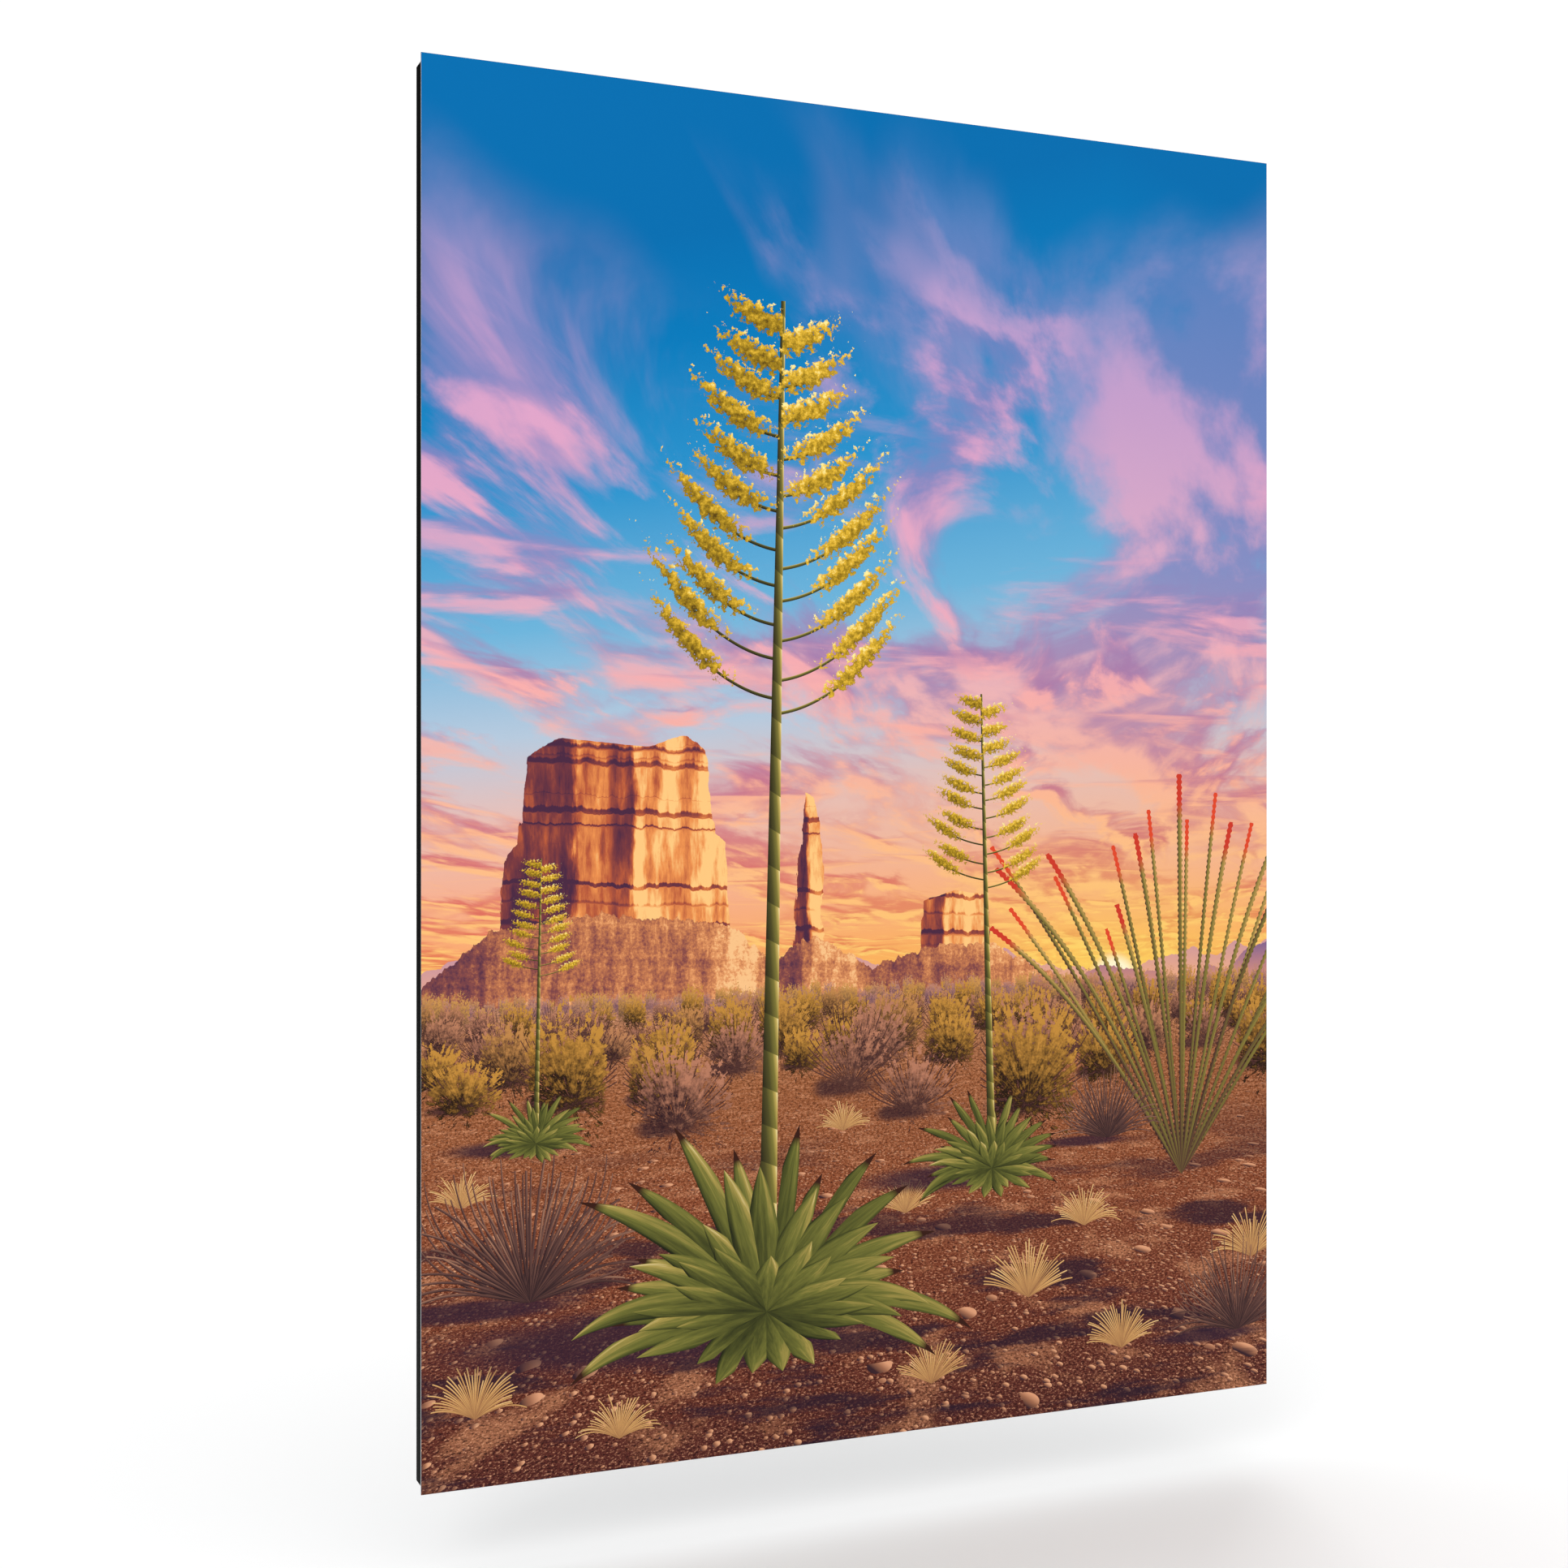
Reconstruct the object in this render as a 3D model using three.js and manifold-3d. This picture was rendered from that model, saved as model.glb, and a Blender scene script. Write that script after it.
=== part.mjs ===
// Wall print panel: a thin metal picture sheet, float mounted on a black backing frame that hangs on two keyholes.
// Millimetres. +X runs to the viewer's right, +Y runs back into the wall and +Z is up.
// The origin lies in the plane of the wall, at the centre of the cross brace.
import * as THREE from "three";
import { mergeVertices } from "three/addons/utils/BufferGeometryUtils.js";
import Module from "manifold-3d";

const wasm = await Module();
wasm.setup();

// Picture sheet
const PANEL_WIDTH = 700;
const PANEL_HEIGHT = 1000;
const SHEET_THICKNESS = 1.2;

// Backing frame, set in from the sheet's edges so that the sheet seems to float
const BACKING_INSET = 2.5;
const RAIL_WIDTH = 40;
const RAIL_DEPTH = 24;

// Adhesive tape between the sheet and the backing
const TAPE_THICKNESS = 0.8;
const TAPE_WIDTH = 19;
const TAPE_END_GAP = 8;

// Flat steel fittings, let in flush with the back of the rails
const PLATE_THICKNESS = 2;
const FIT_GAP = 0.3;
const PLATE_END_RADIUS = 3;
const CORNER_SETBACK = 12;
const CORNER_LEG_LENGTH = 70;
const CORNER_LEG_WIDTH = 16;
const CORNER_SCREW_FIRST = 32;
const CORNER_SCREW_LAST = 62;
const BRACE_PLATE_LENGTH = 56;
const BRACE_PLATE_WIDTH = 16;
const BRACE_SCREW_OFFSETS = [-21, -9, 9, 21];

// Keyhole hangers
const HANGER_OFFSET = 200;
const HANGER_WIDTH = 44;
const HANGER_HEIGHT = 28;
const HANGER_SCREW_OFFSET = 16.5;
const KEYHOLE_ENTRY_RADIUS = 4.5;
const KEYHOLE_ENTRY_DROP = 4.5;
const KEYHOLE_SLOT_WIDTH = 4.6;
const KEYHOLE_SLOT_RISE = 6;
const POCKET_WIDTH = 13;
const POCKET_HEIGHT = 24;
const POCKET_DEPTH = 12;
const POCKET_CORNER_RADIUS = 6;

// Countersunk screws with a cross recess
const SCREW_LENGTH = 16;
const SCREW_SINK = 0.2;
const HEAD_RADIUS = 3.8;
const HEAD_HEIGHT = 2.2;
const SHANK_RADIUS = 1.8;
const TIP_HEIGHT = 3;
const RECESS_LENGTH = 4.2;
const RECESS_WIDTH = 0.9;
const RECESS_DEPTH = 1.1;

const ROUND_SEGMENTS = 12;
const ARC_SEGMENTS = 3;
const MERGE_DISTANCE = 1e-4;

// Places that follow from the driving sizes
const backingHalfWidth = PANEL_WIDTH / 2 - BACKING_INSET;
const backingHalfHeight = PANEL_HEIGHT / 2 - BACKING_INSET;
const railCentreX = backingHalfWidth - RAIL_WIDTH / 2;
const railCentreZ = backingHalfHeight - RAIL_WIDTH / 2;
const innerHalfWidth = backingHalfWidth - RAIL_WIDTH;
const innerHalfHeight = backingHalfHeight - RAIL_WIDTH;
const sheetRearY = -RAIL_DEPTH - TAPE_THICKNESS;

const materials = {
  sheet: new THREE.MeshStandardMaterial({ color: "#c98f6e", roughness: 0.3, metalness: 0.4, flatShading: true }),
  backing: new THREE.MeshStandardMaterial({ color: "#0b0b0c", roughness: 0.8, metalness: 0, flatShading: true }),
  steel: new THREE.MeshStandardMaterial({ color: "#b9bcbe", roughness: 0.35, metalness: 1, flatShading: true }),
  tape: new THREE.MeshStandardMaterial({ color: "#8d9092", roughness: 0.9, metalness: 0, flatShading: true }),
};

const panel = new THREE.Group();

// Turns a drawing in the X, Y plane upright into the X, Z plane, with its thickness running towards the viewer.
const upright = new THREE.Matrix4().set(1, 0, 0, 0, 0, 0, -1, 0, 0, 1, 0, 0, 0, 0, 0, 1);

// A flat slab whose rear face lies at rearY.
function slab(shape, rearY, thickness) {
  const drawn = new THREE.ExtrudeGeometry(shape, {
    depth: thickness,
    bevelEnabled: false,
    curveSegments: ARC_SEGMENTS,
  });
  return drawn.applyMatrix4(upright).translate(0, rearY, 0);
}

function solidOf(geometry) {
  const bare = geometry.clone();
  bare.deleteAttribute("normal");
  bare.deleteAttribute("uv");
  const merged = mergeVertices(bare, MERGE_DISTANCE);
  return new wasm.Manifold(
    new wasm.Mesh({
      numProp: 3,
      vertProperties: merged.attributes.position.array,
      triVerts: Uint32Array.from(merged.index.array),
    }),
  );
}

function geometryOf(solid) {
  const mesh = solid.getMesh();
  const geometry = new THREE.BufferGeometry();
  geometry.setAttribute("position", new THREE.BufferAttribute(mesh.vertProperties, mesh.numProp));
  geometry.setIndex(new THREE.BufferAttribute(mesh.triVerts, 1));
  geometry.computeVertexNormals();
  return geometry;
}

function cut(blank, cutters) {
  let solid = solidOf(blank);
  for (const cutter of cutters) solid = solid.subtract(solidOf(cutter));
  return geometryOf(solid);
}

function addMesh(parent, name, geometry, material, x = 0, z = 0) {
  const mesh = new THREE.Mesh(geometry, material);
  mesh.name = name;
  mesh.position.set(x, 0, z);
  parent.add(mesh);
}

// A rectangle with round corners, centred on the origin.
function roundedRectangle(width, height, radius) {
  const right = width / 2;
  const left = -right;
  const top = height / 2;
  const bottom = -top;
  const shape = new THREE.Shape();
  shape.moveTo(left + radius, bottom);
  shape.lineTo(right - radius, bottom);
  shape.absarc(right - radius, bottom + radius, radius, -Math.PI / 2, 0);
  shape.absarc(right - radius, top - radius, radius, 0, Math.PI / 2);
  shape.absarc(left + radius, top - radius, radius, Math.PI / 2, Math.PI);
  shape.absarc(left + radius, bottom + radius, radius, Math.PI, Math.PI * 1.5);
  return shape;
}

// The outline of a straight plate, and that of the recess it is let into.
function straightOutlines(width, height) {
  const grown = 2 * FIT_GAP;
  return {
    outline: roundedRectangle(width, height, PLATE_END_RADIUS),
    recessOutline: roundedRectangle(width + grown, height + grown, PLATE_END_RADIUS + FIT_GAP),
  };
}

// The L of a corner plate. Its legs run towards -X and -Z from the plate's outer corner; grow widens it all round.
function cornerPlateShape(grow) {
  const radius = PLATE_END_RADIUS;
  const end = -CORNER_LEG_LENGTH - grow;
  const inner = -CORNER_LEG_WIDTH - grow;
  const shape = new THREE.Shape();
  shape.moveTo(grow, grow);
  shape.lineTo(end + radius, grow);
  shape.absarc(end + radius, grow - radius, radius, Math.PI / 2, Math.PI);
  shape.absarc(end + radius, inner + radius, radius, Math.PI, Math.PI * 1.5);
  shape.lineTo(inner, inner);
  shape.absarc(inner + radius, end + radius, radius, Math.PI, Math.PI * 1.5);
  shape.absarc(grow - radius, end + radius, radius, Math.PI * 1.5, Math.PI * 2);
  return shape;
}

// A round entry for the wall screw's head, with a narrow slot above it that the screw's neck rises into.
function keyholeShape() {
  const half = KEYHOLE_SLOT_WIDTH / 2;
  const meeting = Math.acos(half / KEYHOLE_ENTRY_RADIUS);
  const shape = new THREE.Shape();
  shape.absarc(0, -KEYHOLE_ENTRY_DROP, KEYHOLE_ENTRY_RADIUS, Math.PI - meeting, Math.PI * 2 + meeting);
  shape.absarc(0, KEYHOLE_SLOT_RISE, half, 0, Math.PI);
  return shape;
}

// Screws. The axis runs along Y, with the head a little below the back of the rails.
function screwGeometry() {
  const profile = [
    new THREE.Vector2(0, -SCREW_LENGTH),
    new THREE.Vector2(SHANK_RADIUS, TIP_HEIGHT - SCREW_LENGTH),
    new THREE.Vector2(SHANK_RADIUS, -SCREW_SINK - HEAD_HEIGHT),
    new THREE.Vector2(HEAD_RADIUS, -SCREW_SINK),
    new THREE.Vector2(0, -SCREW_SINK),
  ];
  const middle = -SCREW_SINK - RECESS_DEPTH / 2;
  const depth = RECESS_DEPTH + SCREW_SINK;
  const across = new THREE.BoxGeometry(RECESS_LENGTH, depth, RECESS_WIDTH).translate(0, middle, 0);
  const upwards = new THREE.BoxGeometry(RECESS_WIDTH, depth, RECESS_LENGTH).translate(0, middle, 0);
  return cut(new THREE.LatheGeometry(profile, ROUND_SEGMENTS), [across, upwards]);
}

// The countersink and the pilot hole that a screw sits in, a little wider than the screw.
function screwHoleCutter(x, z) {
  const mouth = SCREW_SINK + FIT_GAP;
  const headRadius = HEAD_RADIUS + 2 * FIT_GAP;
  const profile = [
    new THREE.Vector2(0, -SCREW_LENGTH - FIT_GAP),
    new THREE.Vector2(SHANK_RADIUS + FIT_GAP, -SCREW_LENGTH - FIT_GAP),
    new THREE.Vector2(SHANK_RADIUS + FIT_GAP, -mouth - HEAD_HEIGHT),
    new THREE.Vector2(headRadius, -SCREW_SINK),
    new THREE.Vector2(headRadius, mouth),
    new THREE.Vector2(0, mouth),
  ];
  return new THREE.LatheGeometry(profile, ROUND_SEGMENTS).translate(x, 0, z);
}

const screw = screwGeometry();

// A fitting is one plate, the places of its screws and what has to be cut from the rails for it.
// Its geometry is made round its own centre, and the group that holds it is placed and turned on the frame.
function fitting({ plateName, screwName, outline, recessOutline, holes, pockets, screws, x, z, turn }) {
  const holeCutters = screws.map((place) => screwHoleCutter(place.x, place.z));
  const holder = new THREE.Group();
  holder.position.set(x, 0, z);
  holder.rotation.y = turn;
  addMesh(holder, plateName, cut(slab(outline, 0, PLATE_THICKNESS), [...holeCutters, ...holes]), materials.steel);
  screws.forEach((place, i) => addMesh(holder, `${screwName}_${i + 1}`, screw, materials.steel, place.x, place.z));
  panel.add(holder);
  const recess = slab(recessOutline, FIT_GAP, PLATE_THICKNESS + FIT_GAP);
  return [recess, ...holeCutters, ...pockets].map((cutter) => cutter.clone().rotateY(turn).translate(x, 0, z));
}

// Corner plates tie the mitred rails together. Each quarter turn about Y takes the plate to the next corner.
function cornerFittings() {
  const corners = [
    { name: "top_right", sideX: 1, sideZ: 1 },
    { name: "bottom_right", sideX: 1, sideZ: -1 },
    { name: "bottom_left", sideX: -1, sideZ: -1 },
    { name: "top_left", sideX: -1, sideZ: 1 },
  ];
  const middle = -CORNER_LEG_WIDTH / 2;
  const screws = [
    { x: -CORNER_SCREW_FIRST, z: middle },
    { x: -CORNER_SCREW_LAST, z: middle },
    { x: middle, z: -CORNER_SCREW_FIRST },
    { x: middle, z: -CORNER_SCREW_LAST },
  ];
  return corners.flatMap((corner, quarter) =>
    fitting({
      plateName: `corner_plate_${corner.name}`,
      screwName: `corner_screw_${corner.name}`,
      outline: cornerPlateShape(0),
      recessOutline: cornerPlateShape(FIT_GAP),
      holes: [],
      pockets: [],
      screws,
      x: corner.sideX * (backingHalfWidth - CORNER_SETBACK),
      z: corner.sideZ * (backingHalfHeight - CORNER_SETBACK),
      turn: (quarter * Math.PI) / 2,
    }),
  );
}

// Straight plates tie the ends of the cross brace to the side rails.
function braceFittings() {
  const screws = BRACE_SCREW_OFFSETS.map((offset) => ({ x: offset, z: 0 }));
  return [-1, 1].flatMap((side) => {
    const name = side < 0 ? "left" : "right";
    return fitting({
      plateName: `brace_plate_${name}`,
      screwName: `brace_screw_${name}`,
      ...straightOutlines(BRACE_PLATE_LENGTH, BRACE_PLATE_WIDTH),
      holes: [],
      pockets: [],
      screws,
      x: side * innerHalfWidth,
      z: 0,
      turn: 0,
    });
  });
}

// Keyhole hangers in the top rail, each over a routed pocket that takes the head of the wall screw.
function hangerFittings() {
  const keyhole = slab(keyholeShape(), FIT_GAP, PLATE_THICKNESS + 2 * FIT_GAP);
  const pocketOutline = roundedRectangle(POCKET_WIDTH, POCKET_HEIGHT, POCKET_CORNER_RADIUS);
  const pocket = slab(pocketOutline, FIT_GAP, POCKET_DEPTH + FIT_GAP);
  const screws = [-1, 1].map((side) => ({ x: side * HANGER_SCREW_OFFSET, z: 0 }));
  return [-1, 1].flatMap((side) => {
    const name = side < 0 ? "left" : "right";
    return fitting({
      plateName: `hanger_plate_${name}`,
      screwName: `hanger_screw_${name}`,
      ...straightOutlines(HANGER_WIDTH, HANGER_HEIGHT),
      holes: [keyhole],
      pockets: [pocket],
      screws,
      x: side * HANGER_OFFSET,
      z: railCentreZ,
      turn: 0,
    });
  });
}

// Four mitred rails and the cross brace, with everything let into them cut out.
function addBacking(cutters) {
  const corners = [
    { x: -1, z: -1 },
    { x: 1, z: -1 },
    { x: 1, z: 1 },
    { x: -1, z: 1 },
  ];
  ["bottom", "right", "top", "left"].forEach((name, i) => {
    const from = corners[i];
    const to = corners[(i + 1) % corners.length];
    const shape = new THREE.Shape([
      new THREE.Vector2(from.x * backingHalfWidth, from.z * backingHalfHeight),
      new THREE.Vector2(to.x * backingHalfWidth, to.z * backingHalfHeight),
      new THREE.Vector2(to.x * innerHalfWidth, to.z * innerHalfHeight),
      new THREE.Vector2(from.x * innerHalfWidth, from.z * innerHalfHeight),
    ]);
    addMesh(panel, `rail_${name}`, cut(slab(shape, 0, RAIL_DEPTH), cutters), materials.backing);
  });
  const brace = new THREE.BoxGeometry(2 * innerHalfWidth, RAIL_DEPTH, RAIL_WIDTH).translate(0, -RAIL_DEPTH / 2, 0);
  addMesh(panel, "cross_brace", cut(brace, cutters), materials.backing);
}

// Tape strips along the middle of every rail and of the brace. They stop short of each other.
function addTape() {
  const acrossLength = 2 * (railCentreX + TAPE_WIDTH / 2);
  const sideLength = 2 * (railCentreZ - TAPE_WIDTH / 2 - TAPE_END_GAP);
  const braceLength = 2 * (railCentreX - TAPE_WIDTH / 2 - TAPE_END_GAP);
  const strips = [
    { name: "top", width: acrossLength, height: TAPE_WIDTH, x: 0, z: railCentreZ },
    { name: "bottom", width: acrossLength, height: TAPE_WIDTH, x: 0, z: -railCentreZ },
    { name: "left", width: TAPE_WIDTH, height: sideLength, x: -railCentreX, z: 0 },
    { name: "right", width: TAPE_WIDTH, height: sideLength, x: railCentreX, z: 0 },
    { name: "brace", width: braceLength, height: TAPE_WIDTH, x: 0, z: 0 },
  ];
  for (const strip of strips) {
    const geometry = new THREE.BoxGeometry(strip.width, TAPE_THICKNESS, strip.height);
    geometry.translate(0, sheetRearY + TAPE_THICKNESS / 2, 0);
    addMesh(panel, `tape_${strip.name}`, geometry, materials.tape, strip.x, strip.z);
  }
}

function addSheet() {
  const geometry = new THREE.BoxGeometry(PANEL_WIDTH, SHEET_THICKNESS, PANEL_HEIGHT);
  geometry.translate(0, sheetRearY - SHEET_THICKNESS / 2, 0);
  addMesh(panel, "print_sheet", geometry, materials.sheet);
}

addSheet();
addTape();
addBacking([...cornerFittings(), ...braceFittings(), ...hangerFittings()]);

export default panel;
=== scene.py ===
"""Looks of a wall print panel: a gloss coated metal print that floats on a black backing."""

import logging
import math
from collections.abc import Callable, Sequence
from dataclasses import dataclass, field
from enum import Enum
from functools import partial
from typing import Any

import bmesh
import bpy
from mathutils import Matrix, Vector


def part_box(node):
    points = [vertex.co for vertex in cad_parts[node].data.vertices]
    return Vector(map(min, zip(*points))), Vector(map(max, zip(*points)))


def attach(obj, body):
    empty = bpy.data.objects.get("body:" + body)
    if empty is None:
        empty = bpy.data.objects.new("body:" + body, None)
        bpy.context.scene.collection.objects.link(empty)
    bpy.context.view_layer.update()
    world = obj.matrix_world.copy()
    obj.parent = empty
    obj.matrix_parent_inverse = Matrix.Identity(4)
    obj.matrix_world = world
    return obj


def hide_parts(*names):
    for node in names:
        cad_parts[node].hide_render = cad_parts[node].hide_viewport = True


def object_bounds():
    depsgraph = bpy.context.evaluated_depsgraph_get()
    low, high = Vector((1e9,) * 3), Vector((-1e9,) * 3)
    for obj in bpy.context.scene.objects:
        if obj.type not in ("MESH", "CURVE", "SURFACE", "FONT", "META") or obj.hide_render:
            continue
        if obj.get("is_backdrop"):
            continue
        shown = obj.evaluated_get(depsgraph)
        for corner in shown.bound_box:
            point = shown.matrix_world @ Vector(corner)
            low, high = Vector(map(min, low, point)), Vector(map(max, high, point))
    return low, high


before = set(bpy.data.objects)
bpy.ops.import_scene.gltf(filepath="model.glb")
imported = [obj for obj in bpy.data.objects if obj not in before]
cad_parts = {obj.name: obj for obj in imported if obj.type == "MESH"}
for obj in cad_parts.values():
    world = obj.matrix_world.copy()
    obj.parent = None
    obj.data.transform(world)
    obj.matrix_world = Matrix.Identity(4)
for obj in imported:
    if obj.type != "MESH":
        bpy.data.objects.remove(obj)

log = logging.getLogger("panel")

Material = bpy.types.Material
Mesh = bmesh.types.BMesh
Node = bpy.types.Node
Piece = bpy.types.Object
# What adds a node to one tree: add_node with its tree already given.
Adder = Callable[..., Node]
Span = tuple[float, float]
Point = tuple[float, float, float]
Outline = list[Span]
Curve = Sequence[Span]
Stops = Sequence[tuple[float, str]]

MM = 0.001
BODY = "root"


class Slot(Enum):
    """The record's material slots that the pieces take their finish from."""

    SHEET = "sheet"
    BACKING = "backing"
    PLATE = "plate"
    SCREW = "screw"


@dataclass(frozen=True)
class Kind:
    """A kind of node: its type, and the options that set it apart."""

    type: str
    options: dict[str, Any] = field(default_factory=dict)


SUMS = (
    "ADD", "SUBTRACT", "MULTIPLY", "DIVIDE", "MULTIPLY_ADD", "MAXIMUM", "ABSOLUTE", "SIGN", "LESS_THAN",
    "GREATER_THAN", "FLOOR", "ROUND", "FRACT", "SINE", "COSINE", "ARCTAN2", "EXPONENT",
)  # fmt: skip
(
    ADD, SUBTRACT, MULTIPLY, DIVIDE, MULTIPLY_ADD, MAXIMUM, ABSOLUTE, SIGN, LESS_THAN,
    GREATER_THAN, FLOOR, ROUND, FRACT, SINE, COSINE, ARCTAN2, EXPONENT,
) = (Kind("ShaderNodeMath", {"operation": name}) for name in SUMS)  # fmt: skip
VECTOR_SUMS = ("ADD", "SUBTRACT", "MULTIPLY", "MULTIPLY_ADD", "SCALE", "LENGTH", "ABSOLUTE")
(
    VECTOR_ADD, VECTOR_SUBTRACT, VECTOR_MULTIPLY, VECTOR_MULTIPLY_ADD, VECTOR_SCALE, VECTOR_LENGTH,
    VECTOR_ABSOLUTE,
) = (Kind("ShaderNodeVectorMath", {"operation": name}) for name in VECTOR_SUMS)  # fmt: skip
# In the picture a range stays unclamped, because Cycles puts a clamp behind all the later nodes, and the
# shader then runs out of memory.
CLAMPED = Kind("ShaderNodeMapRange")
UNCLAMPED = Kind("ShaderNodeMapRange", {"clamp": False})
SMOOTH = Kind("ShaderNodeMapRange", {"interpolation_type": "SMOOTHSTEP", "clamp": False})
MIX = Kind("ShaderNodeMix")
COLOUR_MIX = Kind("ShaderNodeMix", {"data_type": "RGBA"})
NOISE = Kind("ShaderNodeTexNoise")
FLAT_NOISE = Kind("ShaderNodeTexNoise", {"noise_dimensions": "2D"})
LINE_NOISE = Kind("ShaderNodeTexNoise", {"noise_dimensions": "1D"})
VORONOI = Kind("ShaderNodeTexVoronoi")
FLAT_VORONOI = Kind("ShaderNodeTexVoronoi", {"voronoi_dimensions": "2D"})
DICE = Kind("ShaderNodeTexWhiteNoise", {"noise_dimensions": "1D"})
RAMP = Kind("ShaderNodeValToRGB")
CURVE = Kind("ShaderNodeFloatCurve")
COMBINE = Kind("ShaderNodeCombineXYZ")
SEPARATE = Kind("ShaderNodeSeparateXYZ")
CHANNELS = Kind("ShaderNodeSeparateColor")
BUMP = Kind("ShaderNodeBump")


def linear(hex_colour: str) -> tuple[float, float, float, float]:
    """Turn an sRGB hex colour into the linear colour that shaders take.

    Args:
        hex_colour: Six hex digits after a hash sign.

    Returns:
        Linear red, green and blue, and an alpha of 1.
    """
    parts = [int(hex_colour[i : i + 2], 16) / 255 for i in (1, 3, 5)]
    red, green, blue = (p / 12.92 if p <= 0.04045 else ((p + 0.055) / 1.055) ** 2.4 for p in parts)
    return (red, green, blue, 1.0)


def plug(made: Node, *values: Any, **named: Any) -> None:
    """Fill a node's inputs, each with a value, a hex colour, a socket, or a node for its first live output.

    Args:
        made: The node.
        *values: What goes into its live inputs, in their order.
        **named: What goes into inputs by name, with _ for a space.
    """
    live = [socket for socket in made.inputs if socket.enabled]
    labelled = [(made.inputs[name.replace("_", " ")], value) for name, value in named.items()]
    for socket, value in [*zip(live, values), *labelled]:
        if isinstance(value, Node):
            value = next(out for out in value.outputs if out.enabled)
        if isinstance(value, bpy.types.NodeSocket):
            made.id_data.links.new(value, socket)
        else:
            socket.default_value = linear(value) if isinstance(value, str) else value


def add_node(
    tree: bpy.types.NodeTree, kind: Kind, *values: Any, stops: Stops = (), points: Curve = (), **named: Any
) -> Node:
    """Add one node with its settings and links.

    Args:
        tree: The tree that takes the node.
        kind: Its kind.
        *values: What goes into its live inputs, as for plug.
        stops: A colour ramp's places from 0 to 1, each with its hex colour.
        points: A curve's places from 0 to 1, each with its height, joined by straight lines.
        **named: What goes into inputs by name, as for plug.

    Returns:
        The new node.
    """
    made = tree.nodes.new(kind.type)
    for name, value in kind.options.items():
        setattr(made, name, value)
    plug(made, *values, **named)
    for i, (place, colour) in enumerate(stops):
        element = made.color_ramp.elements[i] if i < 2 else made.color_ramp.elements.new(1.0)
        element.position = place
        element.color = linear(colour)
    for i, place in enumerate(points):
        curve = made.mapping.curves[0]
        point = curve.points[i] if i < 2 else curve.points.new(*place)
        point.location = place
        point.handle_type = "VECTOR"
    return made


def weigh(node: Adder, start: Any, *parts: tuple[Any, float]) -> Node:
    """Add up values in a tree, each times its weight.

    Args:
        node: What adds a node to the tree.
        start: What the sum starts from.
        *parts: The values with their weights.

    Returns:
        The node that gives the sum.
    """
    for value, weight in parts:
        start = node(MULTIPLY_ADD, value, weight, start)
    return start


def new_group(name: str, inputs: str, outputs: str) -> tuple[Adder, list[bpy.types.NodeSocket], Node]:
    """Start a shader node group whose sockets are all plain numbers.

    Args:
        name: The group's name.
        inputs: The names of its inputs, with spaces between.
        outputs: The names of its outputs.

    Returns:
        What adds a node to it, the sockets of its inputs, and the node that takes its outputs.
    """
    tree = bpy.data.node_groups.new(name, "ShaderNodeTree")
    for way, labels in (("INPUT", inputs), ("OUTPUT", outputs)):
        for label in labels.split():
            tree.interface.new_socket(label, in_out=way, socket_type="NodeSocketFloat")
    node = partial(add_node, tree)
    given = node(Kind("NodeGroupInput")).outputs
    return node, given[: len(inputs.split())], node(Kind("NodeGroupOutput"))


@dataclass(frozen=True)
class Tile:
    """A rectangle of the sheet, in millimetres from its centre."""

    left: float = -350.0
    right: float = 350.0
    low: float = -500.0
    high: float = 500.0

    def meets(self, other: "Tile") -> bool:
        """Tell whether two tiles share some of the sheet."""
        across = self.left < other.right and self.right > other.left
        return across and self.low < other.high and self.high > other.low


@dataclass(frozen=True)
class Stencils:
    """The groups that draw what repeats, as kinds of node."""

    fan: Kind
    stalk: Kind
    shrubs: Kind


@dataclass
class Canvas:
    """A tile of the picture while it is laid down, far layers first.

    Its x and z are the place on the sheet, in millimetres from the centre.
    """

    node: Adder
    stencils: Stencils
    x: Any
    z: Any
    colour: Any = None

    def lay(self, colour: Any, mask: Any) -> None:
        """Lay a colour over what is there, where the mask is 1.

        Args:
            colour: The colour, or the node that gives it.
            mask: The node or socket that gives the mask.
        """
        self.colour = self.node(COLOUR_MIX, mask, self.colour, colour)

    def offset(self, x: float, z: float) -> tuple[Node, Node]:
        """Measure from another place on the sheet.

        Args:
            x: That place's x, in millimetres.
            z: Its z.

        Returns:
            The nodes that give the distances from it along x and z.
        """
        return self.node(SUBTRACT, self.x, x), self.node(SUBTRACT, self.z, z)


class Layer:
    """One layer of the picture. Tiles that it doesn't reach leave it out."""

    def reach(self) -> Tile:
        """Give the tile that the layer stays inside."""
        raise NotImplementedError

    def paint(self, canvas: Canvas) -> None:
        """Lay the layer on the canvas.

        Args:
            canvas: The picture so far.
        """
        raise NotImplementedError


@dataclass(frozen=True)
class CloudBank:
    """One bank of cloud: its grain, its share of the sky, and where it is gone and starts to thin."""

    scale: Span
    shift: Span
    cover: Span
    strength: float
    thin: Span


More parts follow.
